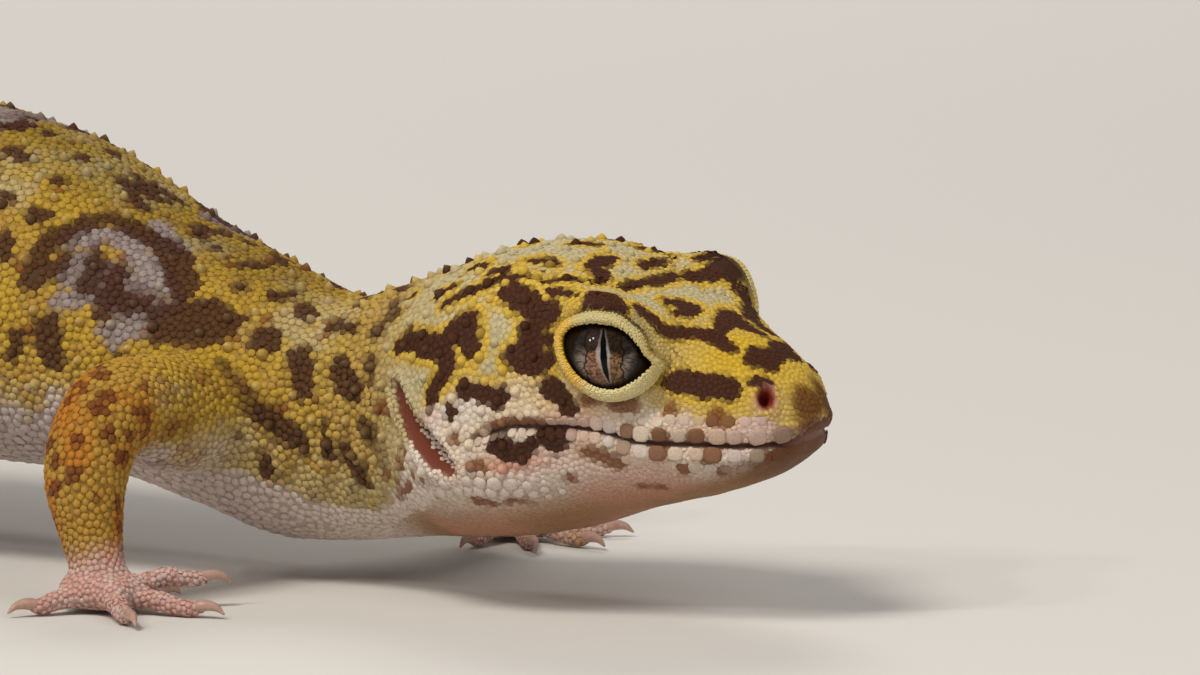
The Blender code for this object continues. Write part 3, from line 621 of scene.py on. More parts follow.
LIMB_GRAIN = 0.3  # pitch at which the limbs' bars are run together
limb_parts = [new_object("limb_part", mesh) for mesh in limb_meshes]
limbs = limb_parts[0]
with bpy.context.temp_override(active_object=limbs, selected_editable_objects=limb_parts):
    bpy.ops.object.join()
remesh = limbs.modifiers.new("run_together", "REMESH")
remesh.mode = "VOXEL"
remesh.voxel_size = LIMB_GRAIN
limb_mesh = settled(limbs)
bpy.data.objects.remove(limbs, do_unlink=True)


def points_of(mesh):
    """A mesh's points as one array."""
    points = np.zeros(len(mesh.vertices) * 3, np.float32)
    mesh.vertices.foreach_get("co", points)
    return points.reshape(-1, 3).astype(float)


def edges_of(mesh):
    """A mesh's edges as pairs of point numbers."""
    pairs = np.zeros(len(mesh.edges) * 2, np.int32)
    mesh.edges.foreach_get("vertices", pairs)
    return pairs.reshape(-1, 2)


def relax(points, edges, weight, rounds):
    """Move each point toward the mean of its neighbours, by its weight, some rounds."""
    a, b = edges.T
    count = np.bincount(a, minlength=len(points)) + np.bincount(b, minlength=len(points))
    for _ in range(rounds):
        total = np.column_stack([
            np.bincount(a, row[b], len(points)) + np.bincount(b, row[a], len(points))
            for row in points.T
        ])
        points = points + weight[:, None] * (total / np.maximum(count, 1)[:, None] - points)
    return points


soft = relax(points_of(limb_mesh), edges_of(limb_mesh), np.full(len(limb_mesh.vertices), 0.5), 6)
soft[:, 2] = np.maximum(soft[:, 2], 0.0)
move_points(limb_mesh, soft)
limbs = new_object("limbs", limb_mesh)

trunk = new_object("trunk_tube", closed_tube("trunk_tube", flat.reshape(body.shape)))
union = trunk.modifiers.new("grow_limbs", "BOOLEAN")
union.operation = "UNION"
union.solver = "MANIFOLD"
union.object = limbs
hide_mesh = settled(trunk)
hide_mesh.name = "hide"
for spent in (trunk, limbs):
    bpy.data.objects.remove(spent, do_unlink=True)


def whereabouts(points):
    """Distance along the spine, turn about it, and mm outside the tube, for each point.

    The head's roll is taken out first; the distance then closes in on the foot of the
    perpendicular to the spine, and the turn comes from the section's own superellipse.
    """
    flat = roll_head(points, -1.0)
    s = -flat[:, 0]
    for _ in range(6):
        angle = np.interp(s, SPINE_S, SPINE_ANGLE)
        gap = flat[:, :2] - place(s, 0.0, 0.0)[:, :2]
        s = s - gap[:, 0] * np.cos(angle) - gap[:, 1] * np.sin(angle)
    s = np.clip(s, 0.0, TAIL_END)
    lateral = gap[:, 1] * np.cos(angle) - gap[:, 0] * np.sin(angle)
    level, above, below, width = section(np.maximum(s, 0.25))
    rise = flat[:, 2] - level
    upper = rise > 0
    power = np.where(upper, profile(ROUNDNESS_ABOVE, s), profile(ROUNDNESS_BELOW, s)) / 2
    reach = np.where(upper, above, below)
    across = np.abs(lateral / width) ** power
    up = np.abs(rise / reach) ** power
    turn = 180.0 - np.degrees(np.arctan2(up * np.sign(rise), across * np.sign(lateral)))
    turn = np.where(turn > 270, turn - 360, turn)
    outside = (np.hypot(across, up) ** (1 / power) - 1) * np.minimum(width, reach)
    return s, turn, outside


def nearest_bar(points):
    """For each point: mm outside the nearest limb bar, its number, share along, ways.

    The ways are the direction toward the toes and the direction out from the bone.
    """
    gap, bar_number, share = (np.full(len(points), fill) for fill in (99.0, -1.0, 0.0))
    ahead, out = np.zeros((len(points), 3)), np.zeros((len(points), 3))
    for number, (path, _) in enumerate(limb_bars):
        low, high = path[:, :3].min(axis=0) - 6, path[:, :3].max(axis=0) + 6
        near = np.flatnonzero(np.all((points > low) & (points < high), axis=1))
        here = points[near]
        for k, (a, b) in enumerate(zip(path[:-1], path[1:])):
            run = b[:3] - a[:3]
            t = np.clip((here - a[:3]) @ run / (run @ run), 0, 1)
            away = here - a[:3] - t[:, None] * run
            outside = np.linalg.norm(away, axis=1) - a[3] - (b[3] - a[3]) * t
            closer = outside < gap[near]
            rows = near[closer]
            gap[rows], bar_number[rows] = outside[closer], number
            share[rows] = (k + t[closer]) / (len(path) - 1)
            ahead[rows] = run / np.linalg.norm(run)
            out[rows] = away[closer]
    return gap, bar_number.astype(int), share, ahead, out


def limb_share(s, off_body, off_limb, low=-0.2):
    """1 on the limbs and 0 on the body, blended where they meet."""
    return ease(low, 1.0, off_body) * ease(1.5, 0.6, off_limb) * ease(30, 36, s)


def on_toe(bar_number):
    """True where the nearest limb bar is a toe."""
    return np.array([toe for _, toe in limb_bars])[np.clip(bar_number, 0, None)]


hide_points = points_of(hide_mesh)
s, turn, off_body = whereabouts(hide_points)
off_limb = nearest_bar(hide_points)[0]
seam = ease(2.0, 0.4, np.abs(off_body)) * ease(2.0, 0.4, np.abs(off_limb)) * ease(30, 36, s)
hide_points = relax(hide_points, edges_of(hide_mesh), 0.6 * seam, 40)
hide_points[:, 2] = np.maximum(hide_points[:, 2], 0.0)
# The frame's origin: its front is the snout tip, and its eyes stand where these do.
eyes_y = sum(sum(corner.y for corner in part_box(f"eye_{name}")) / 4 for name in ("right", "left"))
eyes_here = roll_head(np.array([eye_frame(side)[0] for side in (-1, 1)]))[:, 1].mean() * MM
SHIFT = np.array([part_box("head")[1].x, eyes_y - eyes_here, 0.0])

# ---- Colours of the hide ---------------------------------------------------------------
# A golden yellow ground, cream between the marks, chocolate blotches with a yellow rim
# on the head, lavender bands in dark borders on the trunk, pale lips, throat and belly.
# Marks are chains of (distance, turn, radius); the far ones are drawn once, not mirrored.
HEAD_MARKS = (
    ((20.0, 53, 0.9), (18.9, 49, 0.8), (17.8, 44, 0.9), (16.3, 41, 0.8), (17.2, 32, 0.8),
     (16.3, 30, 0.8), (18.0, 21, 0.9), (16.5, 21, 1.0), (15.8, 22, 0.6)),
    ((29.6, 36, 0.5), (28.4, 37, 0.9), (26.1, 32, 0.9), (24.3, 31, 0.9), (22.7, 37, 1.1),
     (22.2, 40, 0.6), (21.6, 28, 0.7)),
    ((24.0, 29, 0.8), (23.4, 24, 0.8), (23.7, 21, 0.5), (24.4, 16, 0.5), (24.8, 12, 0.4)),
    ((25.6, 50, 0.35), (24.4, 52, 0.42), (23.4, 54, 0.45), (22.0, 58, 0.35), (20.4, 61, 0.2),
     (18.0, 59, 0.2), (16.2, 65, 0.22), (14.9, 67, 0.3)),
    ((20.2, 73, 0.35), (19.2, 73, 0.45), (18.2, 72, 0.35)), ((22.6, 64, 0.35), (21.3, 66, 0.35)),
    ((27.0, 58, 0.3), (25.4, 59, 0.3)), ((25.0, 72, 0.35), (24.0, 71, 0.3)), ((30.5, 64, 0.4),),
    ((31.1, 54, 0.35),), ((17.0, 54, 0.2), (15.7, 54, 0.26), (14.4, 51, 0.18)),
    ((14.2, 38, 0.3), (13.5, 43, 0.5), (12.9, 51, 0.8), (12.1, 55, 0.8), (11.3, 54, 0.5)),
    ((13.6, 40, 0.35), (12.8, 44, 0.35), (11.9, 48, 0.35), (11.0, 51, 0.25)),
    ((10.7, 63, 0.55), (10.0, 62, 0.65), (9.4, 61, 0.6), (8.6, 61, 0.55), (8.0, 67, 0.6),
     (7.2, 72, 0.75), (6.4, 71, 0.65), (5.6, 68, 0.5)),
    ((4.2, 66, 0.5), (4.1, 78, 0.7), (3.6, 87, 0.65), (3.3, 72, 0.6)),
    ((9.5, 29, 0.35), (8.9, 30, 0.6), (8.0, 31, 0.72), (6.8, 32, 0.76), (5.7, 34, 0.8),
     (5.0, 35, 0.75), (4.6, 33, 0.6)), ((3.3, 47, 0.4), (2.8, 50, 0.4)),
    ((15.6, 12, 0.6), (14.8, 9, 0.65), (14.3, 5, 0.5)),
    ((21.7, 14, 0.65), (20.6, 12, 0.55), (19.2, 10, 0.6), (19.4, 7, 0.35)), ((22.9, 8, 0.5),),
    ((19.2, -2, 0.7), (18.4, -7, 0.6), (17.2, -6, 0.55)),
    ((15.8, -1, 0.8), (15.0, -1, 0.6), (15.5, -5, 0.5)),
)
CROWN_MARKS = (
    ((16.3, 79, 0.55), (16.2, 84, 0.7), (16.4, 89, 0.5)),
    ((16.2, 80, 0.5), (15.0, 76, 0.55), (14.6, 69, 0.4)),
    ((14.6, 92, 0.4), (14.5, 97, 0.5), (14.4, 102, 0.4)), ((16.6, 108, 0.5), (15.4, 112, 0.4)),
    ((19.4, 90, 0.4), (18.4, 92, 0.4)), ((18.8, 104, 0.4),),
    ((13.2, 76, 0.35), (13.3, 84, 0.45), (13.0, 91, 0.5), (12.8, 98, 0.5), (12.0, 104, 0.75),
     (11.5, 111, 0.75), (11.5, 118, 0.7)), ((13.2, 117, 0.5), (12.4, 121, 0.5)),
    ((10.7, 83, 0.5), (10.1, 86, 0.75), (9.7, 88, 0.65), (9.5, 78, 0.5)),
    ((7.2, 83, 0.5), (7.6, 92, 0.7), (8.2, 97, 0.5), (6.6, 94, 0.65), (5.6, 97, 0.45)),
    ((23.6, 92, 0.5), (24.6, 98, 0.35)), ((27.4, 88, 0.45), (28.6, 83, 0.35)),
    ((26.8, 104, 0.5), (25.6, 109, 0.4)), ((22.2, 118, 0.5), (23.2, 123, 0.4)), ((30.2, 98, 0.5),),
    ((18.0, 120, 0.4), (16.8, 124, 0.35)),
)
LIP_MARKS = (  # ochre and softer edged
    ((11.4, 9, 0.5), (10.2, 10, 0.7)), ((8.1, 14, 0.65),), ((5.1, 14, 0.65),),
    ((13.2, 8, 0.4), (12.2, 9, 0.35)), ((8.6, 2, 0.45),), ((6.6, 3, 0.45),), ((10.6, 2, 0.35),),
    ((8.6, -4, 0.55),), ((5.8, -7, 0.55),), ((13.4, -8, 0.55), (12.6, -10, 0.6), (11.6, -13, 0.55)),
    ((7.4, -18, 0.4),), ((5.2, -28, 0.4),), ((15.0, -22, 0.4),),
    ((10.9, -34, 0.25), (9.4, -37, 0.35)), ((2.6, -24, 0.5),), ((19.2, -31, 0.3), (18.2, -32, 0.2)),
    ((21.6, -27, 0.3), (20.6, -28, 0.2)), ((11.2, -4, 0.35),),
    ((21.0, 1, 0.35), (19.6, 2, 0.35), (18.2, 2, 0.35), (16.9, 1, 0.3), (15.9, 2, 0.2)),
    ((22.7, 1, 0.5),), ((23.1, -8, 0.5),), ((31.0, 12, 0.45), (29.4, 12, 0.55)),
    ((28.6, 8, 0.35), (27.8, 3, 0.4), (26.9, -1, 0.35)), ((28.0, -20, 0.4), (29.8, -29, 0.35)),
    ((20.6, -10, 0.65),), ((29.4, -20, 0.4),), ((30.6, -16, 0.4),), ((27.7, -4, 0.35),),
    ((26.0, -17, 0.4),), ((24.6, -3, 0.45),), ((27.2, -14, 0.4),), ((28.6, -8, 0.4),),
    ((25.0, -24, 0.35),), ((0.4, 52, 1.1), (0.4, 24, 0.8), (0.5, 0, 0.6), (1.0, 62, 0.8)),
    ((0.5, 118, 0.9),), ((21.2, -27, 0.3), (20.4, -30, 0.3)), ((18.6, -33, 0.3), (18.0, -35, 0.25)),
)
BODY_MARKS = (
    ((57.7, 26, 0.75), (57.5, 36, 0.75), (56.9, 47, 0.6), (56.0, 57, 0.55), (54.8, 64, 0.6),
     (53.4, 68, 0.7), (51.2, 67, 0.9), (49.5, 62, 1.05), (48.1, 54, 1.0), (47.6, 47, 0.75)),
    ((56.0, 38, 0.5), (56.4, 29, 0.45)), ((54.1, 46, 0.4), (54.0, 38, 0.5), (54.0, 30, 0.5)),
    ((52.2, 43, 0.5), (52.1, 34, 0.65), (52.0, 25, 0.65)),
    ((51.8, 30, 0.5), (50.6, 33, 0.55), (49.6, 35, 0.5)), ((48.2, 33, 0.8), (47.9, 23, 0.7)),
    ((47.4, 30, 0.9), (45.6, 30, 0.95), (44.2, 37, 0.95), (43.6, 42, 0.75)),
    ((46.5, 40, 0.75), (45.2, 43, 0.85), (44.2, 43, 0.8)), ((55.8, 10, 1.0), (55.3, 1, 0.85)),
    ((41.0, 38, 0.95),), ((38.2, 31, 0.8), (37.4, 19, 0.8)), ((34.8, 28, 0.75), (33.4, 19, 0.75)),
    ((43.0, 13, 0.7), (42.0, 8, 0.65), (40.8, 1, 0.65), (39.2, -2, 0.65), (37.6, -7, 0.5)),
    ((61.6, 50, 0.55),), ((59.0, 48, 0.6),), ((60.4, 35, 0.45), (60.0, 30, 0.45)),
    ((57.2, 94, 0.5), (55.2, 89, 0.55)), ((46.0, 79, 0.5), (45.2, 84, 0.4)),
    ((40.0, 65, 0.5), (39.2, 62, 0.4)), ((45.2, 3, 0.4),), ((42.6, -11, 0.4),),
    ((40.5, -18, 0.4), (40.2, -23, 0.45)), ((34.0, -6, 0.4), (33.0, -14, 0.5), (32.8, -21, 0.4)),
    ((35.6, 2, 0.35), (35.4, -8, 0.35)), ((32.2, 7, 0.35), (31.2, -2, 0.42), (30.4, -9, 0.4)),
    ((28.4, -1, 0.35), (28.2, -11, 0.42), (28.8, -20, 0.35)), ((25.6, -13, 0.4), (25.7, -19, 0.45)),
    ((32.2, 30, 0.35), (31.8, 23, 0.4)), ((32.4, 45, 0.45), (31.8, 52, 0.4)), ((31.8, 62, 0.4),),
    ((35.8, 72, 0.4),), ((61.8, 49, 0.5),), ((59.6, 66, 0.45),), ((60.1, 82, 0.5),),
    ((42.2, 66, 0.4), (41.4, 74, 0.35)), ((35.4, 52, 0.4), (34.6, 49, 0.4)),
    ((36.4, 84, 0.45), (35.6, 92, 0.4)), ((50.2, 96, 0.6), (51.2, 88, 0.4)),
    ((32.6, 76, 0.5), (33.6, 84, 0.4)), ((47.6, 0, 0.4),), ((50.4, 6, 0.4),), ((44.0, -6, 0.3),),
    ((56.0, 84, 0.5), (54.6, 80, 0.45)), ((62.6, 68, 0.5),), ((44.6, 62, 0.35),),
    ((48.6, 80, 0.4),), ((37.0, 52, 0.35), (36.2, 55, 0.35)), ((58.4, -1, 0.4), (58.2, 4, 0.35)),
)
LAVENDER_PATCHES = (
    ((56.2, 45, 0.7), (55.0, 52, 1.0), (54.4, 59, 0.7), (52.6, 58, 1.0), (50.2, 51, 1.1),
     (48.7, 45, 0.9), (50.6, 40, 1.2), (54.1, 39, 1.3), (55.6, 34, 0.9), (53.0, 32, 1.2),
     (50.0, 30, 1.2), (48.8, 36, 1.1)), ((55.4, 20, 0.8), (53.6, 27, 0.8)),
    ((51.0, 18, 1.1), (49.6, 23, 0.9), (49.0, 28, 0.7)), ((47.4, 42, 0.6),),
    ((50.6, 112, 1.2), (52.6, 104, 0.9)),
)
PALE_STREAKS = (  # brightest lavender, and the white edge of the throat's fold
    ((55.4, 49, 0.55), (54.8, 57, 0.4)), ((52.6, 57, 0.5), (50.3, 51, 0.65), (48.8, 45, 0.5)),
    ((55.2, 20, 0.45), (53.8, 26, 0.45)), ((50.8, 18, 0.7), (49.5, 24, 0.5)),
    ((36.2, -40, 0.45), (34.4, -45, 0.6), (32.4, -45, 0.65), (29.6, -36, 0.6), (27.0, -27, 0.55),
     (25.0, -20, 0.5)),
)
BAND_STATIONS = (67.6, 91.0, 112.0)
SHADES = {
    "yellow": "#c6a130", "cream": "#b5a780", "brown": "#442514", "maroon": "#462718",
    "lavender": "#8b7b74", "white": "#d3c4b6", "pink": "#bd8470", "throat": "#946e4a",
    "chin": "#663e20", "ochre": "#764521", "gold": "#a68235", "orange": "#a96d22",
    "red_brown": "#743c1a",
    "belly": "#ccbab2", "foot": "#bf9486", "raw": "#7d2a1c", "tail_pale": "#c9bdb4",
    "tail_dark": "#2b1f1e", "flesh": "#7b4231", "streak": "#94867f",
}


def linear(shade):
    """Linear light values of an sRGB hex colour."""
    v = np.array([int(shade[i : i + 2], 16) for i in (1, 3, 5)]) / 255.0
    return np.where(v <= 0.04045, v / 12.92, ((v + 0.055) / 1.055) ** 2.4)


PAINT = {name: linear(shade) for name, shade in SHADES.items()}


def balls_along(chains, both_sides):
    """Closely set balls along each chain: positions on the hide and radii, unrolled."""
    made = []
    for side in (-1, 1) if both_sides else (-1,):
        for chain in chains:
            chain = np.array(chain, dtype=float)
            steps = np.arange(len(chain))
            t = np.linspace(0, len(chain) - 1, max(1, (len(chain) - 1) * 8 + 1))
            fine = np.column_stack([np.interp(t, steps, chain[:, k]) for k in range(3)])
            made.append(on_surface(fine, side))
    return np.vstack(made)


def tree_of(points):
    """A tree that finds the nearest of many points."""
    tree = KDTree(len(points))
    for number, point in enumerate(points):
        tree.insert(point, number)
    tree.balance()
    return tree


def mark_gap(points, balls):
    """Distance from each unrolled point to the edge of the nearest ball's mark."""
    tree = tree_of(balls[:, :3])
    found = np.full(len(points), 5.0)
    low, high = balls[:, :3].min(axis=0) - 4, balls[:, :3].max(axis=0) + 4
    for row in np.flatnonzero(np.all((points > low) & (points < high), axis=1)):
        near = tree.find_n(points[row], 5)
        found[row] = min(5.0, min(gap - balls[number, 3] for _, number, gap in near))
    return found


def scattered_spots(first, last, gap, seed):
    """Short random chains over the back and flanks, no two closer than gap."""
    rng = np.random.default_rng(seed)
    kept, places = [], np.zeros((0, 3))
    for _ in range(2600):
        s, turn = rng.uniform(first, last), rng.uniform(-8, 188)
        where = body_surface(np.array([s]), np.array([turn]))
        if len(places) and np.min(np.linalg.norm(places - where, axis=1)) < gap:
            continue
        places = np.vstack([places, where])
        radius, run = rng.uniform(0.34, 0.62), rng.uniform(0.2, 1.5)
        heading = rng.uniform(0, 2 * math.pi)
        other = (s + run * math.cos(heading), turn + 5 * run * math.sin(heading), radius * 0.75)
        kept.append(((s, turn, radius), other) if rng.random() < 0.6 else ((s, turn, radius),))
    return tuple(kept)


# Each kind of mark: its balls, how ragged its edge is and how far the edge is grown.
SPOTS = scattered_spots(62, 124, 3.0, 11)
MARKS = (
    (np.vstack([balls_along(HEAD_MARKS, True), balls_along(CROWN_MARKS, False)]), 0.8, 0.14),
    (balls_along(LIP_MARKS, True), 0.7, 0.0),
    (np.vstack([balls_along(BODY_MARKS, True), balls_along(SPOTS, False)]), 1.1, 0.16),
    (balls_along(LAVENDER_PATCHES, True), 1.2, 0.0),
    (balls_along(PALE_STREAKS, True), 1.0, 0.0),
)
PALE_LIMIT = (  # below this turn the side is pale: lips, throat, belly, under the tail
    (0, 0), (1.6, 8), (2.6, 20), (4, 13), (6, 10), (8, 13), (12, 13), (15, 13), (18, 14),
    (21, 15), (24, 13), (27, 2), (30, -26), (33, -40), (36.4, -41), (38, -36), (40, -31),
    (42.6, -25),
    (46.2, -25), (47.8, -19), (49, -11), (52, -12), (56.4, -17), (60, -21), (66, -29), (100, -32),
    (116, -26), (126, -30), (140, -60), (207, -70),
)


def blend(under, over, weight):
    """One colour laid over another by a weight for each point."""
    return under + (over - under) * np.asarray(weight)[..., None]


def ground_colour(flat, s, folded, drift, speckle):
    """Ground of neck, trunk and upper legs: gold, cream and yellow with rusty freckles."""
    body = blend(PAINT["gold"], PAINT["cream"], 0.55 * ease(0.52, 0.8, drift))
    body = blend(body, PAINT["yellow"] * 0.82, 0.6 * ease(0.35, 0.65, speckle))
    freckle = spots(flat, 2.3, 14) + 0.5 * stray(flat, 0.8, 15)
    body = blend(body, PAINT["red_brown"], 0.8 * ease(0.5, 0.3, freckle) * ease(30, 36, s))
    body = body * (1 - 0.35 * ease(48, 84, folded) * ease(34, 44, s))[:, None]
    creamy = 0.15 * ease(42, 32, s) + 0.45 * ease(6, -26, folded) * ease(0.3, 0.6, speckle)
    body = blend(body, PAINT["cream"], creamy)
    nape = ease(24, 27, s) * ease(37, 31, s) * ease(20, -20, folded) * ease(0.35, 0.7, drift)
    return blend(body, PAINT["orange"] * (1, 0.8, 0.7), 0.45 * nape)


def pale_colour(s, folded, drift, on_head):
    """Lips, throat and belly: white, flushed with pink, with a yellow cheek and dark chin; chin and
    throat darkened partly, the belly wholly, by painted shade.
    """
    # Under the throat: partly its own warm brown, partly painted shade under the jaw.
    under = blend(PAINT["white"], PAINT["throat"], ease(-12, -50, folded) * ease(34, 28, s))
    under = blend(under, PAINT["pink"], 0.5 * ease(0.5, 0.85, drift) * on_head)
    corner = bell((s - 18.6) / 3.2) * bell((folded + 11) / 6.5)
    under = blend(under, PAINT["pink"] * (1, 0.82, 0.7), 0.8 * corner)
    lips = ease(10, 5, s) * ease(-12, -2, folded)
    under = blend(under, PAINT["pink"] * (0.9, 0.85, 0.75), 0.42 * lips)
    # The dark chin: partly its own brown, partly painted shade under the snout.
    chin = np.maximum(ease(7, 1.5, s) * ease(-6, -24, folded), 0.75 * ease(2.6, 1.2, s))
    under = blend(under, PAINT["chin"], chin)
    cheek = bell((s - 16.0) / 3.6) * ease(1, 7, folded)
    under = blend(under, PAINT["yellow"] * (1.15, 1.15, 2.6), 0.5 * cheek)
    under = blend(under, PAINT["belly"], ease(34, 44, s))
    # Painted shade: the belly darker along the trunk, from behind the forelegs to the hind legs.
    return under * (1 - 0.25 * ease(50, 58, s) * ease(120, 110, s))[:, None]


def bands(flat, s, folded):
    """Shares of the trunk's lavender bands and of their broken dark borders."""
    band, border = np.zeros(len(s)), np.zeros(len(s))
    reach = ease(2, 14, folded + 12 * stray(flat, 3.0, 40))
    broken = reach * ease(0.3, 0.45, noise(flat, 2.4, 44))
    for number, station in enumerate(BAND_STATIONS):
        centre = station + 5.0 * stray(flat, 9.0, 20 + number)
        off = np.abs(s - centre) - 2.6 - 2.0 * stray(flat, 3.0, 30 + number)
        band = np.maximum(band, ease(0.5, -0.5, off) * reach)
        border = np.maximum(border, ease(1.25, 0.75, np.abs(off - 0.4)) * broken)
    return band, border


def tail_colour(flat, s, folded):
    """Pale tail in ragged dark rings that fade below, with dark flecks between them."""
    ring = (s - 127.0) / (15.0 - 0.05 * (s - 127.0)) + 0.16 * stray(flat, 5.0, 50)
    ring = np.abs(np.mod(ring, 1.0) - 0.5) * 2
    dark = ease(0.42, 0.58, ring + 0.24 * stray(flat, 1.6, 51)) * ease(-60, -10, folded)
    fleck = ease(0.66, 0.74, noise(flat, 1.3, 52)) * (1 - dark)
    pale = blend(PAINT["tail_pale"], PAINT["yellow"], 0.35 * ease(150, 122, s))
    return blend(pale, PAINT["tail_dark"], np.maximum(dark, 0.85 * fleck))


def leg_colour(points, body, speckle, toe, along):
    """Orange and gold leg, freckled with rust, the body's own colour above, pink foot."""
    leg = blend(PAINT["orange"], PAINT["gold"], 0.85 * ease(0.32, 0.6, noise(points, 2.2, 59)))
    upper = np.where(toe, 0.0, ease(0.44, 0.30, along))
    inside = ease(11.0, 8.0, points[:, 2] + 2.5 * stray(points, 2.4, 62))
    leg = blend(leg, blend(body, PAINT["belly"], inside), upper)
    freckle = ease(0.72, 0.54, spots(points, 1.8, 60) + 0.2 * stray(points, 0.6, 61))
    leg = blend(leg, PAINT["red_brown"] * 0.85, 0.9 * freckle * (1 - 0.6 * upper))
    foot = blend(PAINT["foot"], PAINT["belly"], 0.4 * ease(0.4, 0.7, speckle))
    return blend(leg, foot, np.where(toe, 1.0, ease(0.80, 0.98, along)))


def hide_colour(points):
    """Colour of the hide at points of the rolled animal, and the share that is limb."""
    s, turn, off_body = whereabouts(points)
    off_limb, bar_number, along, _, _ = nearest_bar(points)
    flat, folded = roll_head(points, -1.0), fold(turn)
    ragged = 0.55 * stray(flat, 0.9, 5) + 0.35 * stray(flat, 0.4, 6)
    drift, speckle = noise(flat, 4.0, 8), noise(flat, 0.7, 9)
    head_gap, lip_gap, body_gap, lavender_gap, streak_gap = (
        mark_gap(flat, balls) + wear * ragged - grown for balls, wear, grown in MARKS
    )
    # Yellow rims the marks of the head and covers the snout; cream lies between.
    on_head = ease(33, 27, s)
    halo = np.maximum(
        0.9 * ease(0.8, 0.25, head_gap - 0.8 * ragged + 0.6 * (drift - 0.5)),
        0.85 * ease(12, 5, s) + 0.5 * (drift - 0.5),
    )
    body = ground_colour(flat, s, folded, drift, speckle)
    colour = blend(body, blend(PAINT["cream"], PAINT["yellow"], np.clip(halo, 0, 1)), on_head)
    # The pale side, with ochre marks on the lips.
    behind = ease(40, 56, s)
    wobble = (9 * stray(flat, 2.2, 10) + 7 * stray(flat, 0.9, 12)) * (1 + 0.8 * behind)
    edge = folded - profile(PALE_LIMIT, s) + wobble
    pale = ease(1, -1, edge / (3.5 + 3.5 * behind))
    colour = blend(colour, pale_colour(s, folded, drift, on_head), pale)
    ochre_halo = ease(1.2, 0.2, lip_gap) * on_head * ease(-24, -4, folded)
    colour = blend(colour, PAINT["yellow"], 0.18 * ochre_halo)
    tip = ease(3.0, 2.0, s)
    ochre = blend(PAINT["ochre"], PAINT["ochre"] * (0.55, 0.4, 0.35), tip)
    colour = blend(colour, ochre, 0.9 * ease(0.25 + 0.35 * tip, -0.2 - 0.35 * tip, lip_gap))
    # Lavender in dark borders on the body, then the dark marks themselves.
    band, border = bands(flat, s, folded)
    on_body = ease(28, 33, s)
    lavender = np.maximum(band, ease(0.3, -0.3, lavender_gap) * on_body)
    clouds = 0.45 * ease(0.4, 0.65, noise(flat, 1.8, 46))
    shade = blend(PAINT["lavender"], PAINT["maroon"], clouds)
    colour = blend(colour, shade, lavender * (1 - pale))
    colour = blend(colour, PAINT["maroon"], border * (1 - pale))
    streak = blend(PAINT["white"], PAINT["streak"], ease(38, 46, s))
    colour = blend(colour, streak, 0.85 * ease(0.3, -0.25, streak_gap))
    dots = ease(0.25, -0.15, body_gap) * on_body * (1 - 0.75 * pale) * ease(126, 120, s)
    colour = blend(colour, PAINT["maroon"], 0.94 * dots)
    colour = blend(colour, PAINT["brown"], ease(0.14, -0.14, head_gap) * ease(34, 30, s))
    colour = blend(colour, tail_colour(flat, s, folded), ease(120, 127, s))
    limb = limb_share(s, off_body, off_limb)
    leg = leg_colour(points, body, speckle, on_toe(bar_number), along)
    return blend(colour, leg, limb), limb


def into_nostril(flat, side):
    """Distance from the line that runs inwards from a nostril, less along its height."""
    hole = on_surface([NOSTRIL], side)[0, :3]
    inward = hole - 2.0 * np.array([0.5, 0.83 * side, 0.25])
    squeeze = np.array([1, 1, 1.35])
    return to_chain(flat / squeeze, [(*(hole / squeeze), 0), (*(inward / squeeze), 0)])


def bare_flesh(points, colour):
    """Pink flesh inside the nostrils, ear pits and between the lips; the lips' seam darkened as
    painted shade.
    """
    flat = roll_head(points, -1.0)
    for side in (-1, 1):
        halo = into_nostril(flat + (-0.25, 0.0, 0.45), side)
        colour = blend(colour, PAINT["pink"] * (1, 1.15, 1.25), 0.8 * ease(1.35, 0.8, halo))
        colour = blend(colour, PAINT["raw"], ease(0.75, 0.5, into_nostril(flat, side)))
        slit = to_chain(flat * (1, 0.6, 1), on_surface(EAR_SLIT, side) * (1, 0.6, 1, 1))
        colour = blend(colour, PAINT["flesh"], ease(0.75, 0.4, slit))
        colour = blend(colour, PAINT["raw"], ease(0.12, -0.25, slit))
    s = -flat[:, 0]
    lip = np.abs(flat[:, 2] - profile(LIP_LINE, s))
    # Between the lips: pink flesh, darkened to painted shade in the mouth's seam.
    return blend(colour, PAINT["pink"] * 0.38, ease(0.30, 0.10, lip) * ease(22.5, 21.0, s))


def in_frame(points):
    """Millimetres from the snout tip to metres in the frame."""
    return points * MM + SHIFT


def add_piece(name, mesh, colour, material, slot, *replaced):
    """A finished piece in the scene: its mesh, a colour for every point, its material."""
    if colour is not None:
        tint = mesh.attributes.new("tint", "FLOAT_COLOR", "POINT")
        rows = np.column_stack([colour, np.ones(len(colour))]).astype(np.float32)
        tint.data.foreach_set("color", rows.ravel())
    mesh.materials.append(material)
    piece = new_object(name, mesh)
    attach(piece, "root")
    if replaced:
        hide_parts(*replaced)


def node(tree, kind, settings=None, links=None):
    """Add a node, set its inputs or properties by name, and link (node, output) inputs."""
    made = tree.nodes.new(kind)
    for name, value in (settings or {}).items():
        if name in made.inputs:
            made.inputs[name].default_value = value
        else:
            setattr(made, name, value)
    for name, (source, output) in (links or {}).items():
        tree.links.new(source.outputs[output], made.inputs[name])
    return made


def new_material(name):
    """A material without nodes, and its tree."""
    made = bpy.data.materials.new(name)
    made.use_nodes = True
    made.node_tree.nodes.clear()
    return made, made.node_tree


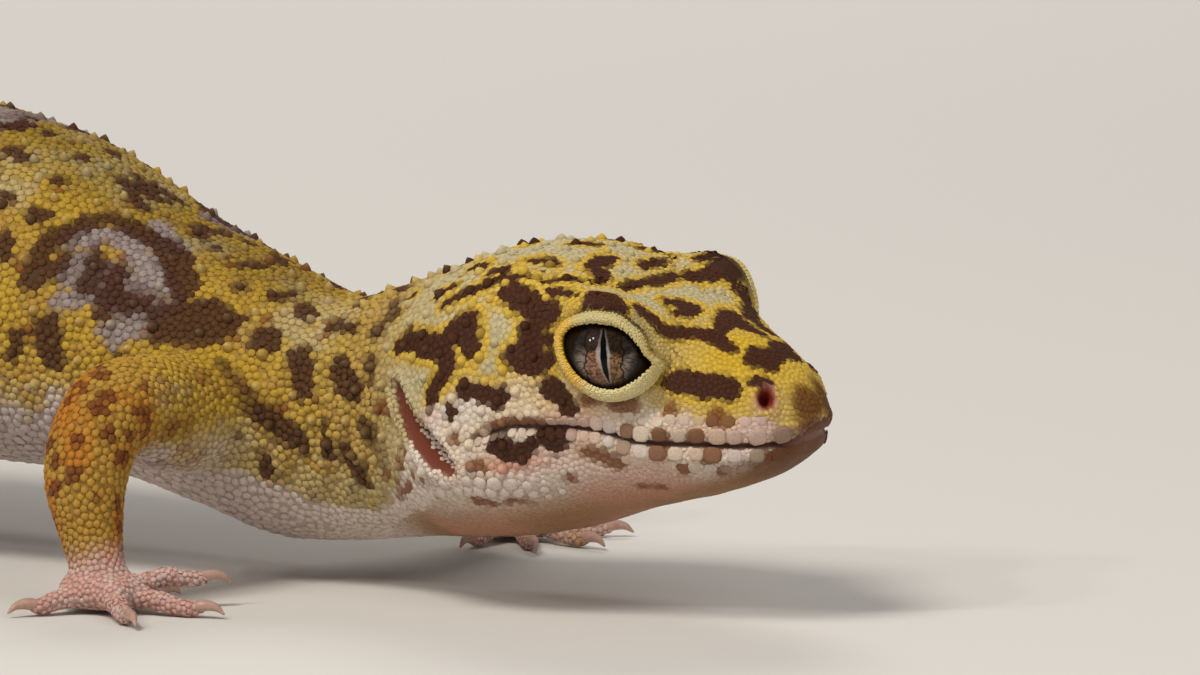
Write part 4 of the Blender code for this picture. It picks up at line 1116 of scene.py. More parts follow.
def reptile_skin(name, roughness, grain, bump):
    """Dry reptile skin: keratin over pigment, satin, with a very fine grain."""
    made, tree = new_material(name)
    where = node(tree, "ShaderNodeTexCoord")
    tint = node(tree, "ShaderNodeAttribute", {"attribute_name": "tint"})
    fine = node(
        tree, "ShaderNodeTexNoise", {"Scale": 1 / (grain * MM), "Detail": 3.0},
        {"Vector": (where, "Object")},
    )
    vary = node(
        tree, "ShaderNodeMapRange",
        {"From Min": 0.3, "From Max": 0.7, "To Min": 0.84, "To Max": 1.12},
        {"Value": (fine, "Fac")},
    )
    shade = node(
        tree, "ShaderNodeVectorMath", {"operation": "SCALE"},
        {"Vector": (tint, "Color"), "Scale": (vary, "Result")},
    )
    rough = node(
        tree, "ShaderNodeMapRange", {"To Min": roughness - 0.08, "To Max": roughness + 0.1},
        {"Value": (fine, "Fac")},
    )
    raised = node(
        tree, "ShaderNodeBump", {"Strength": bump, "Distance": 0.05 * MM},
        {"Height": (fine, "Fac")},
    )
    surface = node(
        tree, "ShaderNodeBsdfPrincipled", {"IOR": 1.5, "Specular IOR Level": 0.26},
        {"Base Color": (shade, "Vector"), "Roughness": (rough, "Result"),
         "Normal": (raised, "Normal")},
    )
    node(tree, "ShaderNodeOutputMaterial", None, {"Surface": (surface, "BSDF")})
    return made


move_points(hide_mesh, in_frame(hide_points))
hide_mesh.shade_smooth()
hide_mesh.materials.clear()
hide_s, hide_turn, _ = whereabouts(hide_points)
tone, hide_limb = hide_colour(hide_points)
tone = bare_flesh(hide_points, tone) * (0.78 + 0.1 * ease(36, 28, hide_s))[:, None]
FLESH = [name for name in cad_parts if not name.startswith("eye_") and "claw" not in name]
SKIN = reptile_skin("gecko_skin", 0.5, 0.09, 0.35)
add_piece("hide", hide_mesh, tone, SKIN, "skin", *FLESH)

# ---- The coat --------------------------------------------------------------------------
# Small horny granules packed over the hide, each a separate low dome leaning back along
# the lie; larger cone-shaped tubercles between them on head, back, flanks and tail; and
# rows of rounded plates along the lips.
hide_mesh.calc_loop_triangles()
triangles = np.zeros(len(hide_mesh.loop_triangles) * 3, np.int32)
hide_mesh.loop_triangles.foreach_get("vertices", triangles)
triangles = triangles.reshape(-1, 3)
hide_tree = BVHTree.FromPolygons(hide_points.tolist(), triangles.tolist())
GRANULE_GAP = (  # gap between granules along the back and flanks
    (0, 0.28), (4, 0.30), (9, 0.31), (14, 0.34), (19, 0.38), (24, 0.43), (30, 0.46),
    (36, 0.46), (60, 0.49), (118, 0.52), (126, 0.64), (160, 0.52), (190, 0.38), (207, 0.26),
)
TUBERCLE_GAP = (
    (15, 1.2), (24, 1.3), (31, 1.6), (40, 1.8), (116, 2.1), (126, 2.2), (175, 1.7), (200, 1.1),
)
TUBERCLE_SIZE = (
    (14, 0.30), (18, 0.40), (24, 0.46), (30, 0.46), (40, 0.46), (116, 0.50), (128, 0.58),
    (170, 0.44), (204, 0.22),
)


def eye_clearance(flat):
    """Distance outside the lids' outer edge, over the hide near either eye."""
    clear = np.full(len(flat), 9.0)
    for side in (-1, 1):
        centre, forward, up, out = eye_frame(side)
        local = (flat - centre) @ np.column_stack([forward, up, out])
        plane = local[:, :2] - lids_middle(side)
        direction = np.arctan2(plane[:, 1], plane[:, 0])
        beyond = np.linalg.norm(plane, axis=1) - opening_radius(direction) - lid_width(direction)
        clear = np.where(local[:, 2] > 0, np.minimum(clear, beyond), clear)
    return clear


def ear_clearance(flat):
    """Distance outside the ears' slits."""
    return np.minimum(*(to_chain(flat, on_surface(EAR_SLIT, side)) for side in (-1, 1)))


def granule_gap(points):
    """Gap between granules: least on face and feet, most on belly and behind the jaw."""
    s, turn, off_body = whereabouts(points)
    off_limb, bar_number, along, _, _ = nearest_bar(points)
    gap = profile(GRANULE_GAP, s)
    under = ease(-15, -45, fold(turn))
    gap = gap + under * (ease(34, 50, s) * ease(130, 118, s) * 0.22 - ease(34, 28, s) * 0.08)
    flat = roll_head(points, -1.0)
    gap = gap * (1 - 0.28 * ease(1.6, 0.3, eye_clearance(flat)))
    gap = gap * (1 - 0.35 * ease(1.6, 0.5, ear_clearance(flat)))
    on_limb = np.where(on_toe(bar_number), 0.33, 0.48 - 0.12 * ease(0.6, 0.95, along))
    return gap + (on_limb - gap) * limb_share(s, off_body, off_limb, 0.0)


def scatter(count, rng, weight):
    """Random points on the hide's triangles, more where the weight is larger."""
    a, b, c = hide_points[triangles].transpose(1, 0, 2)
    area = np.linalg.norm(np.cross(b - a, c - a), axis=1) / 2
    share = area * weight[triangles].mean(axis=1)
    pick = rng.choice(len(triangles), count, p=share / share.sum())
    u, v = np.sqrt(rng.random((count, 1))), rng.random((count, 1))
    return a[pick] * (1 - u) + b[pick] * u * (1 - v) + c[pick] * u * v


def thin_out(points, gap, taken=(), room=()):
    """Keep points, first come first kept, none within gap of another or in taken room."""
    tree = tree_of(points)
    alive = np.ones(len(points), bool)
    for point, radius in zip(taken, room):
        for _, number, _ in tree.find_range(point, radius):
            alive[number] = False
    for number in range(len(points)):
        if alive[number]:
            for _, other, _ in tree.find_range(points[number], gap[number]):
                if other > number:
                    alive[other] = False
    return alive


def settle(points, gap, rounds):
    """Push close neighbours apart over the hide, so the granules pack evenly."""
    normals = np.zeros_like(points)
    for spread_first in [False] + [True] * rounds:
        if spread_first:
            tree = tree_of(points)
            near = np.array([[n for _, n, _ in tree.find_n(p, 7)] for p in points])[:, 1:]
            away = points[:, None] - points[near]
            distance = np.linalg.norm(away, axis=2) + 1e-6
            push = np.maximum(0, 1.25 * gap[:, None] - distance) / distance
            points = points + 0.25 * (away * push[..., None]).sum(axis=1)
        for number, point in enumerate(points):
            spot, normal, _, _ = hide_tree.find_nearest(point)
            points[number], normals[number] = spot, normal
    return points, normals


def dome_shape(sides, rings, square=0.0):
    """A closed low dome of unit size: rings of (radius, height), then its top point.

    square pushes the outline out to its corners: circle / max(|x|, |y|) ** square.
    """
    turn = np.arange(sides) * 2 * math.pi / sides
    circle = np.column_stack([np.cos(turn), np.sin(turn)])
    circle = circle / np.abs(circle).max(axis=1, keepdims=True) ** square
    shape = [np.column_stack([circle * radius, np.full(sides, height)]) for radius, height in rings]
    shape = np.vstack(shape + [[[0, 0, 1.0]]])
    i = np.arange(sides)
    j = (i + 1) % sides
    starts = sides * np.arange(len(rings) - 1)
    quads = [np.column_stack([k + i, k + j, k + sides + j, k + sides + i]) for k in starts]
    top = (len(rings) - 1) * sides
    fan = np.column_stack([top + i, top + j, np.full(sides, len(rings) * sides)])
    under = np.column_stack([np.zeros(sides - 2, int), i[2:], i[1:-1]])
    return shape, np.vstack(quads), np.vstack([fan, under])


GRANULE = dome_shape(6, ((1.0, -0.25), (0.84, 0.55)))
PEBBLE = dome_shape(8, ((1.0, -0.25), (0.93, 0.35), (0.6, 0.82)))
PLATE = dome_shape(12, ((1.0, -0.25), (0.94, 0.45), (0.7, 0.9)), 0.75)
CONE = dome_shape(8, ((1.0, -0.2), (0.8, 0.28), (0.42, 0.7)))


def lie_of_coat(points, normals):
    """Unit direction that the scales lean in: to the tail, or down a limb to its toes."""
    s, _, off_body = whereabouts(points)
    off_limb, _, _, ahead, _ = nearest_bar(points)
    angle = np.interp(s, SPINE_S, SPINE_ANGLE)
    back = np.column_stack([-np.cos(angle), -np.sin(angle), np.zeros(len(s))])
    lie = blend(back, ahead, limb_share(s, off_body, off_limb))
    lie -= np.sum(lie * normals, axis=1, keepdims=True) * normals
    return lie / (np.linalg.norm(lie, axis=1, keepdims=True) + 1e-9)


def unwrap(points):
    """Place on a flat lay-out of the hide: along and round the body, limbs above it."""
    s, turn, off_body = whereabouts(points)
    off_limb, bar_number, along, ahead, out = nearest_bar(points)
    u = 0.01 + np.interp(s, (0, 30, 124, 207), (0, 0.30, 0.74, 0.98))
    v = 0.01 + 0.68 * (turn + 90) / 360
    on_limb = (off_limb < 1.2) & (off_body > 0.4) & (s > 32)
    leg, toe = np.divmod(np.clip(bar_number, 0, None), 6)  # each leg's bar, then its five toes
    side = np.cross(ahead, (0, 0, 1.0))
    around = np.arctan2(out[:, 2], np.sum(out * side, axis=1)) / (2 * math.pi) + 0.5
    toe_u = 0.125 + 0.022 * (toe - 1) + 0.018 * around
    limb_u = 0.01 + 0.245 * leg + np.where(toe == 0, 0.12 * along, toe_u)
    limb_v = 0.72 + 0.26 * np.where(toe == 0, around, along)
    return np.column_stack([np.where(on_limb, limb_u, u), np.where(on_limb, limb_v, v)])


PATCH = 0.0015  # half the width of a scale's patch on the lay-out


def coat_piece(
    name, roots, normals, lie, along, across, height, lean, shape, colour, tip, foot=0.8
):
    """Joined mesh of one shape at every root, sized, leaned and coloured by arrays.

    foot is how much of its colour a scale keeps where it meets the hide: painted shade between the
    scales.
    """
    form, quads, tris = shape
    side = np.cross(normals, lie)
    rise = np.clip(form[:, 2], 0, 1)
    ahead = form[:, 0] * along[:, None] + lean[:, None] * rise**1.3
    points = (
        roots[:, None] + ahead[..., None] * lie[:, None]
        + (form[:, 1] * across[:, None])[..., None] * side[:, None]
        + (form[:, 2] * height[:, None])[..., None] * normals[:, None]
    ).reshape(-1, 3)
    points[:, 2] = np.maximum(points[:, 2], 0.0)
    first = (np.arange(len(roots)) * len(form))[:, None, None]
    quads, tris = (quads + first).reshape(-1, 4), (tris + first).reshape(-1, 3)
    mesh = new_mesh(name, in_frame(points), quads, tris)
    corner = np.zeros(len(mesh.loops), np.int32)
    mesh.loops.foreach_get("vertex_index", corner)
    patch = (unwrap(roots)[:, None] + form[:, :2] * PATCH).reshape(-1, 2)[corner]
    layout = mesh.uv_layers.new(name="OFBake")
    layout.data.foreach_set("uv", patch.astype(np.float32).ravel())
    rise = rise[:, None]
    # Painted shade: each scale darker toward its foot, then its tip colour over the top.
    shade = colour[:, None] * (foot + (1 - foot) * np.minimum(1, rise * 2.2))
    shade = shade + (tip[:, None] - colour[:, None]) * np.clip(rise * 1.6 - 0.6, 0, 1)
    add_piece(name, mesh, shade.reshape(-1, 3), SCALES, "skin")


SCALES = reptile_skin("gecko_scales", 0.56, 0.12, 0.2)
MOST_TRIANGLES = 190000  # in one piece
rng = np.random.default_rng(3)

# Tubercles first, then granules in the room they leave.
tubercle_room = ease(14.0, 17.0, hide_s) * ease(204, 198, hide_s) * (hide_limb < 0.05)
tubercle_room *= ease(-14, -4, fold(hide_turn) + 10 * ease(120, 130, hide_s))
tubercle_room *= 1 / profile(TUBERCLE_GAP, hide_s) ** 2
knobs = scatter(9000, rng, tubercle_room)
knob_s = whereabouts(knobs)[0]
knob_gap = profile(TUBERCLE_GAP, knob_s)
alive = thin_out(knobs, knob_gap)
knob_flat = roll_head(knobs, -1.0)
alive &= (eye_clearance(knob_flat) > 1.0) & (ear_clearance(knob_flat) > 0.9)
knobs, knob_normals = settle(knobs[alive], knob_gap[alive], 2)
knob_s = whereabouts(knobs)[0]
knob_size = profile(TUBERCLE_SIZE, knob_s)
knob_size *= rng.uniform(0.85, 1.12, len(knobs))
knob_tone, _ = hide_colour(knobs)
pointed = ease(22, 32, knob_s)
knob_rise = knob_size * (0.9 + 0.2 * pointed)
knob_light = ease(0.10, 0.35, knob_tone[:, 0])  # on dark marks they stay dark
creamy = (0.15 + 0.5 * knob_light) * pointed * rng.uniform(0.3, 1.0, len(knobs))
coat_piece(
    "coat_tubercles", knobs, knob_normals, lie_of_coat(knobs, knob_normals), knob_size, knob_size,
    knob_rise, knob_size * 0.35 * pointed, CONE, knob_tone,
    blend(knob_tone * 1.1, PAINT["cream"] * 1.1, creamy),
)

# Lip plates: a row on each lip and a smaller row beyond it; beads along the jaw's edge.
lip_roots, lip_sizes = [], []
LIP_SIZE = ((0, 1.0), (9, 1.0), (13, 0.7), (17, 0.55), (22, 0.5))  # less toward the corner
JAW_EDGE = (  # (distance, turn) where rows of white beads stand over the throat
    (14.8, -34), (16.2, -30), (17.8, -24), (19.5, -19), (21.6, -15), (24.3, -16), (25.5, -15),
)
for side in (-1, 1):
    for offset, pitch, first, last, wide, tall in (
        (0.66, 1.15, 1.2, 20.6, 0.59, 0.56), (-0.64, 1.15, 1.4, 21.2, 0.59, 0.52),
        (1.62, 0.9, 2.2, 12.0, 0.46, 0.42), (-1.55, 0.9, 2.6, 13.6, 0.44, 0.4),
    ):
        fine = np.linspace(first, last, 400)
        number = np.cumsum(np.diff(fine) / pitch / profile(LIP_SIZE, fine[1:]))
        number = np.concatenate([[0], number])
        s = np.interp(np.arange(0.5, number[-1]), number, fine)
        scale = profile(LIP_SIZE, s)
        s = s + 0.09 * pitch * scale * rng.uniform(-1, 1, len(s))
        height = profile(LIP_LINE, s) + np.sign(offset) * (0.1 + (abs(offset) - 0.1) * scale)
        turns = turn_at(s, height, side)
        lip_roots.append(body_surface(s, turns if side < 0 else 180 - turns))
        sizes = np.column_stack([wide * scale, tall * np.sqrt(scale)])
        lip_sizes.append(sizes * rng.uniform(0.84, 1.06, (len(s), 1)))
    for row, radius in ((0, 0.52), (-5, 0.44), (4.5, 0.34)):
        s = np.arange(15.8 + 0.2 * abs(row), 24.4, 1.9 * radius)
        turns = np.interp(s, *np.transpose(JAW_EDGE)) + row
        lip_roots.append(body_surface(s, turns if side < 0 else 180 - turns))
        bead = radius * (0.55 + 0.45 * ease(15.8, 18.6, s)) * rng.uniform(0.85, 1.1, len(s))
        lip_sizes.append(np.column_stack([bead, bead]))
lip_roots, lip_sizes = np.vstack(lip_roots), np.vstack(lip_sizes)
clear_of_ear = ear_clearance(lip_roots) > 0.95
lip_roots, lip_sizes = roll_head(lip_roots[clear_of_ear]), lip_sizes[clear_of_ear]
lip_roots, lip_normals = settle(lip_roots, lip_sizes[:, 0], 0)
lip_tone, _ = hide_colour(lip_roots)
beads = np.abs(lip_sizes[:, 0] - lip_sizes[:, 1]) < 0.001
dull = 0.92 * rng.uniform(0.93, 1.04, len(lip_roots))
lip_tone = blend(lip_tone * dull[:, None], PAINT["white"] * 0.98, 0.75 * beads)
for name, rows, shape, high in (
    ("coat_lip_plates", ~beads, PLATE, 0.2), ("coat_jaw_beads", beads, PEBBLE, 0.4),
):
    long, tall = lip_sizes[rows].T
    coat_piece(
        name, lip_roots[rows], lip_normals[rows], lie_of_coat(lip_roots[rows], lip_normals[rows]),
        long, tall, tall * high, long * 0.05, shape, lip_tone[rows], lip_tone[rows] * 1.02, 0.9,
    )

# Granules everywhere else, but for the openings; dealt out in pieces of one size.
weight = 1 / granule_gap(hide_points) ** 2
roots = scatter(420000, rng, weight)
gap = granule_gap(roots)
flat = roll_head(roots, -1.0)
bare = (eye_clearance(flat) < -0.2) | (ear_clearance(flat) < 0.42)
for side in (-1, 1):
    bare |= into_nostril(flat, side) < 0.8
bare |= (np.abs(flat[:, 2] - profile(LIP_LINE, -flat[:, 0])) < 0.28) & (flat[:, 0] > -21.5)
roots, gap = roots[~bare], gap[~bare]
keep_clear = np.vstack([knobs, lip_roots])
clear = np.concatenate([knob_size * 1.05, lip_sizes.mean(axis=1) * 0.95])
alive = thin_out(roots, gap * 0.92, keep_clear, clear)
roots, gap = settle(roots[alive], gap[alive], 0)[0], gap[alive]
roots, normals = settle(roots, gap, 2)
roots, normals = settle(roots, gap, 0)
tone, _ = hide_colour(roots)
tone = tone * rng.uniform(0.94, 1.06, (len(roots), 1))
# Painted shade: granules darker close round the lids, in the crease there.
tone = tone * (1 - 0.4 * ease(0.5, 0.1, eye_clearance(roll_head(roots, -1.0))))[:, None]
size = gap * 0.69 * rng.uniform(0.92, 1.1, len(roots))
root_s, root_turn, _ = whereabouts(roots)
on_face = ease(34, 30, root_s)
rise = size * (0.42 - 0.24 * on_face - 0.1 * ease(-10, -40, fold(root_turn)))
lean = size * 0.25 * (1 - on_face)
lie = lie_of_coat(roots, normals)
deal = rng.permutation(len(roots))
most = MOST_TRIANGLES // (len(GRANULE[1]) * 2 + len(GRANULE[2]))
for name, rows, foot in (
    ("coat_head", deal[on_face[deal] > 0.5], 0.92), ("coat_body", deal[on_face[deal] <= 0.5], 0.8),
):
    parts = math.ceil(len(rows) / most)
    for number in range(parts):
        part = rows[number::parts]
        coat_piece(
            f"{name}_{number + 1}", roots[part], normals[part], lie[part], size[part] * 1.06,
            size[part], rise[part], lean[part], GRANULE, tone[part], tone[part] * 1.06, foot,
        )

# ---- Eyes ------------------------------------------------------------------------------
# Each eye is a wet ball: a pink-brown iris with fine veins and a closed scalloped slit
# with a pale rim, painted black as shade where the lids meet it, under a clear cornea.
GAZE_FORWARD, GAZE_UP, SLIT_HALF = math.radians(15.0), math.radians(8.0), 1.95
IRIS = {name: linear(shade) for name, shade in {
    "rear": "#8f6750", "front": "#856445", "outer": "#7f7164", "deep": "#140a07",
    "rim": "#aaa39b", "black": "#030202",
}.items()}


def eye_ball(side):
    """Ball of rings about the gaze, close together on the side that shows.

    Its colour by formula: |across| < w(up) is the slit, with a pale rim; lumps and veins
    lie beside it, a fan of streaks beyond a wavy line, and painted shade, black, under the lids.
    """
    centre, forward, up, out = eye_frame(side)
    gaze = out + math.tan(GAZE_FORWARD) * forward + math.tan(GAZE_UP) * up
    gaze /= np.linalg.norm(gaze)
    over = up - (up @ gaze) * gaze
    over /= np.linalg.norm(over)
    ahead = np.cross(over, gaze)
    ahead *= np.sign(ahead @ forward)
    tilt = np.concatenate([np.linspace(0.012, 1.25, 96), np.linspace(1.32, math.pi - 0.05, 18)])
    turn = np.linspace(0, 2 * math.pi, 200, endpoint=False)
    tilt, turn = np.meshgrid(tilt, turn, indexing="ij")
    off_axis = np.cos(turn)[..., None] * ahead + np.sin(turn)[..., None] * over
    rings = centre + EYE_RADIUS * (
        np.cos(tilt)[..., None] * gaze + np.sin(tilt)[..., None] * off_axis
    )
    ball = with_poles(rings) - centre
    local = ball @ np.column_stack([ahead, over, gaze])
    reach = np.arctan2(np.hypot(local[:, 0], local[:, 1]), local[:, 2]) * EYE_RADIUS
    heading = np.arctan2(local[:, 1], local[:, 0])
    a, b = reach * np.cos(heading), reach * np.sin(heading)
    flat = np.column_stack([a, b, np.zeros(len(a)) + 5 * side])
    bent = flat + 0.25 * stray(flat, 0.3, 75)[:, None]
    # Beside the slit the iris is lumpy and veined; past a wavy line it is fanned out.
    lump = ease(0.4, 0.62, noise(bent + flat * (-0.2, 0.3, 0), 0.135, 70))
    curl = ease(0.3, 0.7, noise(bent, 0.08, 74))
    fan = np.column_stack([heading * 3.0, reach * 0.35, 0 * a])
    fan = ease(0.3, 0.7, noise(fan, 0.11, 76))
    wavy = np.abs(a - 0.09 * np.sin(b * 3.7 + 1.0) - 0.05 * np.sin(b * 9.0 + side))
    outer = ease(1.15, 1.35, wavy)
    near, far = 0.26 + 0.58 * lump + 0.36 * curl, 0.25 + 0.75 * fan + 0.15 * curl
    colour = blend(IRIS["rear"], IRIS["front"], ease(-0.4, 0.4, a))
    colour = blend(colour, IRIS["outer"], outer) * (near + (far - near) * outer)[:, None]
    line = ease(0.095, 0.03, np.abs(wavy - 1.25)) * ease(2.1, 1.6, np.abs(b))
    colour = blend(colour, IRIS["deep"], 0.92 * line)
    web = ease(0.05, 0.01, np.abs(stray(bent, 0.3, 73)))
    colour = blend(colour, IRIS["deep"], 0.5 * web * (1 - outer))
    # Painted shade: the upper lid's shadow, and darker toward the rim and the front corner.
    shaded = 0.9 * ease(-0.2, 0.55, b + 0.7 * stray(flat, 0.7, 71))
    shaded = np.maximum(shaded, np.maximum(ease(1.5, 2.5, reach), 0.7 * ease(1.5, 2.4, a)))
    colour = blend(colour, IRIS["deep"], shaded)
    # The slit and its pale rim, brightest at the middle.
    body = np.clip(1 - (b / SLIT_HALF) ** 2, 0, 1)
    half = 0.215 * body**0.8 * (1 + 0.08 * np.cos(b * 6.0 + 0.6))
    slit = np.abs(a - 0.08 * np.clip(-b, 0, None) ** 2 + 0.03 * b) - half
    edge = (0.09 + 0.12 * bell(b / 0.8)) * (1.2 - 0.2 * np.sign(a))
    edge = edge * (0.7 + 0.6 * noise(flat, 0.25, 77))
    lit = 0.2 + 0.75 * bell((b + 0.1) / 0.9) + 0.25 * ease(-0.6, -1.4, b)
    lit = np.clip(0.8 * lit * (0.65 + 0.6 * noise(flat, 0.11, 72)), 0, 0.95)
    rim = lit * ease(edge + 0.05, edge - 0.06, slit) * (body > 0)
    colour = blend(colour, IRIS["rim"], rim)
    colour = blend(colour, IRIS["black"], ease(0.03, -0.02, slit) * (body > 0))
    # Painted shade: black where the lids' edge overhangs the ball.
    plane = ball @ np.column_stack([forward, up]) - lids_middle(side)
    inside = opening_radius(np.arctan2(plane[:, 1], plane[:, 0])) - np.linalg.norm(plane, axis=1)
    return rings, blend(colour, IRIS["black"], ease(0.55, 0.1, inside))


def wet_eye(name):
    """Living cornea: clear and wet over a matt iris."""
    made, tree = new_material(name)
    tint = node(tree, "ShaderNodeAttribute", {"attribute_name": "tint"})
    surface = node(
        tree, "ShaderNodeBsdfPrincipled",
        {"Roughness": 0.35, "IOR": 1.376, "Specular IOR Level": 0.1, "Coat Weight": 1.0,
         "Coat Roughness": 0.02, "Coat IOR": 1.2}, {"Base Color": (tint, "Color")},
    )
    node(tree, "ShaderNodeOutputMaterial", None, {"Surface": (surface, "BSDF")})
    return made


CORNEA = wet_eye("gecko_eye")
for side, name in ((-1, "eye_right"), (1, "eye_left")):
    rings, colour = eye_ball(side)
    rolled = in_frame(roll_head(rings.reshape(-1, 3))).reshape(rings.shape)
    add_piece(name + "_ball", closed_tube(name + "_ball", rolled), colour, CORNEA, "eye", name)

# ---- Lids ------------------------------------------------------------------------------
# Eublepharids have movable lids: a thick pale-yellow rolled rim round the whole opening,
# finely notched at its edge, that runs to a point at the front corner.
LID = {name: linear(shade) for name, shade in {
    "pale": "#c9bb86", "yellow": "#deb03c", "bright": "#e6dcae", "inside": "#1b100c",
    "crease": "#3c2418",
}.items()}
LID_SECTION = np.array((  # share of the lid's width, height over the dome, 1 where it lies inside
    (0.02, -0.62, 1), (0.0, -0.25, 1), (-0.01, 0.02, 0), (0.10, 0.17, 0), (0.28, 0.27, 0),
    (0.5, 0.30, 0), (0.72, 0.26, 0), (0.9, 0.14, 0), (1.0, -0.06, 0), (1.06, -0.45, 0),
    (0.9, -0.8, 1), (0.45, -0.95, 1),
))


def lid_ring(side):
    """A closed section carried round the opening, from the ball over a rolled rim.

    Its outer foot stands in the hide, and its height follows the dome over the ball.
    """
    centre, forward, up, out = eye_frame(side)
    around = np.linspace(-math.pi, math.pi, 260, endpoint=False)
    opening, width = opening_radius(around), lid_width(around)
    serration = 0.03 * np.cos(around * 65)
    out_share, rise, inner = LID_SECTION.T
    radius = opening[:, None] + out_share * width[:, None] + serration[:, None] * (rise > 0)
    ways = np.stack([np.cos(around), np.sin(around)], -1)[:, None]
    flat = lids_middle(side) + radius[..., None] * ways
    ball = np.sqrt(np.maximum(EYE_RADIUS**2 - np.sum(flat**2, axis=-1), 0.0))
    thick = (0.55 + 0.45 * width / LID_WIDTH)[:, None]
    flare = np.clip(np.sin(around), 0, 1)[:, None] ** 2
    flare = 0.24 * flare * np.clip(1 - np.abs(out_share - 0.55) / 0.6, 0, 1)
    high = lid_dome(flat) + rise * thick + flare
    high = np.where(inner > 0, np.minimum(high, ball + 0.02 + rise * 0.3), high)
    rings = centre + flat[..., :1] * forward + flat[..., 1:] * up + high[..., None] * out
    # Yellow behind and at the foot, bright below; dark in the crease above, partly the brown of the
    # marks and partly painted shade, and painted shade inside.
    patchy = 0.5 * stray(rings.reshape(-1, 3), 0.9, 80).reshape(high.shape)
    rear = 0.75 * ease(0.6, -2.2, flat[..., 0] + 0.35 * flat[..., 1])
    yellow = np.clip(rear + patchy + 0.4 * ease(0.2, -0.1, rise) + 0.12, 0, 1)
    colour = blend(LID["pale"], LID["yellow"], yellow)
    below = np.clip(-np.sin(around) - 0.35, 0, 1)[:, None] * ease(-1.6, 0.4, flat[..., 0])
    colour = blend(colour, LID["bright"], 0.9 * below)
    # The crease above the lid: brown like the marks there, and partly painted shade.
    crease = (out_share > 0.4) * ease(0.1, -0.1, rise)
    crease = crease * np.clip(0.35 + np.sin(around), 0, 1)[:, None]
    colour = blend(colour, LID["crease"], crease)
    # Painted shade: dark on the lid's inner face, against the ball.
    return rings, blend(colour, LID["inside"], inner * (out_share < 0.3))


def ring_faces(steps, sides):
    """Quads of a section carried round a closed loop."""
    i, j = np.meshgrid(np.arange(steps), np.arange(sides), indexing="ij")
    a, b = (i + 1) % steps, (j + 1) % sides
    return np.stack([i * sides + j, i * sides + b, a * sides + b, a * sides + j], -1).reshape(-1, 4)


LID_SKIN = reptile_skin("gecko_lid_skin", 0.45, 0.10, 0.6)
LID_LANES, LID_PITCH, LID_GRAIN = np.arange(2.0, 9.4, 0.85), 0.175, 0.105
lid_roots, lid_normals, lid_lie, lid_tone = [], [], [], []
for side, name in ((-1, "lid_right"), (1, "lid_left")):
    rings, colour = lid_ring(side)
    rolled = in_frame(roll_head(rings.reshape(-1, 3)))
    mesh = new_mesh(name, rolled, ring_faces(*rings.shape[:2]), np.zeros((0, 3), int))
    add_piece(name, mesh, colour.reshape(-1, 3), LID_SKIN, "skin")
    # Rows of the finest granules cover the rims, with a fringe at the edges.
    steps = rings.shape[0]
    middle = rings.mean(axis=1)
    for lane in LID_LANES:
        j, t = int(lane), lane - int(lane)
        k = (j + 1) % rings.shape[1]
        row = rings[:, j] * (1 - t) + rings[:, k] * t
        length = np.linalg.norm(np.diff(row, axis=0), axis=1)
        length = np.concatenate([[0], np.cumsum(length)])
        at = np.arange(0, length[-1], LID_PITCH) + 0.09 * (lane % 2)
        take = np.interp(at, length, np.arange(steps)).astype(int) % steps
        across = rings[take, k] - rings[take, j]
        normal = np.cross(rings[(take + 1) % steps, j] - rings[take - 1, j], across)
        normal /= np.linalg.norm(normal, axis=1, keepdims=True)
        away = row[take] - middle[take]
        normal *= np.sign(np.sum(normal * away, axis=1, keepdims=True) + 1e-9)
        lid_roots.append(row[take])
        lid_normals.append(normal)
        lid_lie.append(across / np.linalg.norm(across, axis=1, keepdims=True))
        lid_tone.append((colour[:, j] * (1 - t) + colour[:, k] * t)[take])
lid_roots, lid_normals, lid_lie, lid_tone = (
    np.vstack(rows) for rows in (lid_roots, lid_normals, lid_lie, lid_tone)
)
rolled = roll_head(lid_roots)
lid_normals = roll_head(lid_roots + lid_normals) - rolled
lid_lie = roll_head(lid_roots + lid_lie) - rolled
grain = LID_GRAIN * rng.uniform(0.85, 1.15, len(rolled))
coat_piece(
    "coat_lid_granules", rolled, lid_normals, lid_lie, grain, grain, grain * 0.6, grain * 0.3,
    GRANULE, lid_tone, lid_tone * 1.05,
)

# ---- Claws -----------------------------------------------------------------------------
# Short curved claws of horn, half clear, in faint streaks of brown; five to each hand and foot.
GAP, CLAW_LENGTH, CLAW_RADIUS = 0.3, 1.5, 0.42
CLAW_PROFILE = np.array((  # share of its length, rise, share of its radius
    (0, 0.12, 1.0), (0.25, 0.2, 0.95), (0.5, 0.19, 0.8), (0.75, 0.06, 0.58), (1.0, -0.3, 0.2),
))
CLAW_INSIDE = 0.35  # this much of a claw is hidden in its toe


def horn(name):
    """Thin keratin: smooth, warm and a little clear, in faint streaks of brown."""
    made, tree = new_material(name)
    where = node(tree, "ShaderNodeTexCoord")
    streaks = node(
        tree, "ShaderNodeTexNoise", {"Scale": 1 / (0.35 * MM), "Detail": 2.0},
        {"Vector": (where, "Object")},
    )
    mixed = node(tree, "ShaderNodeMix", {"data_type": "RGBA"}, {"Factor": (streaks, "Fac")})
    for number, shade in ((6, "#94705f"), (7, "#c29c8b")):  # the mix's two colour inputs
        mixed.inputs[number].default_value = (*linear(shade), 1)
    surface = node(
        tree, "ShaderNodeBsdfPrincipled",
        {"Roughness": 0.3, "IOR": 1.55, "Coat Weight": 0.3, "Coat Roughness": 0.15},
        {"Base Color": (mixed, 2)},
    )
    node(tree, "ShaderNodeOutputMaterial", None, {"Surface": (surface, "BSDF")})
    return made


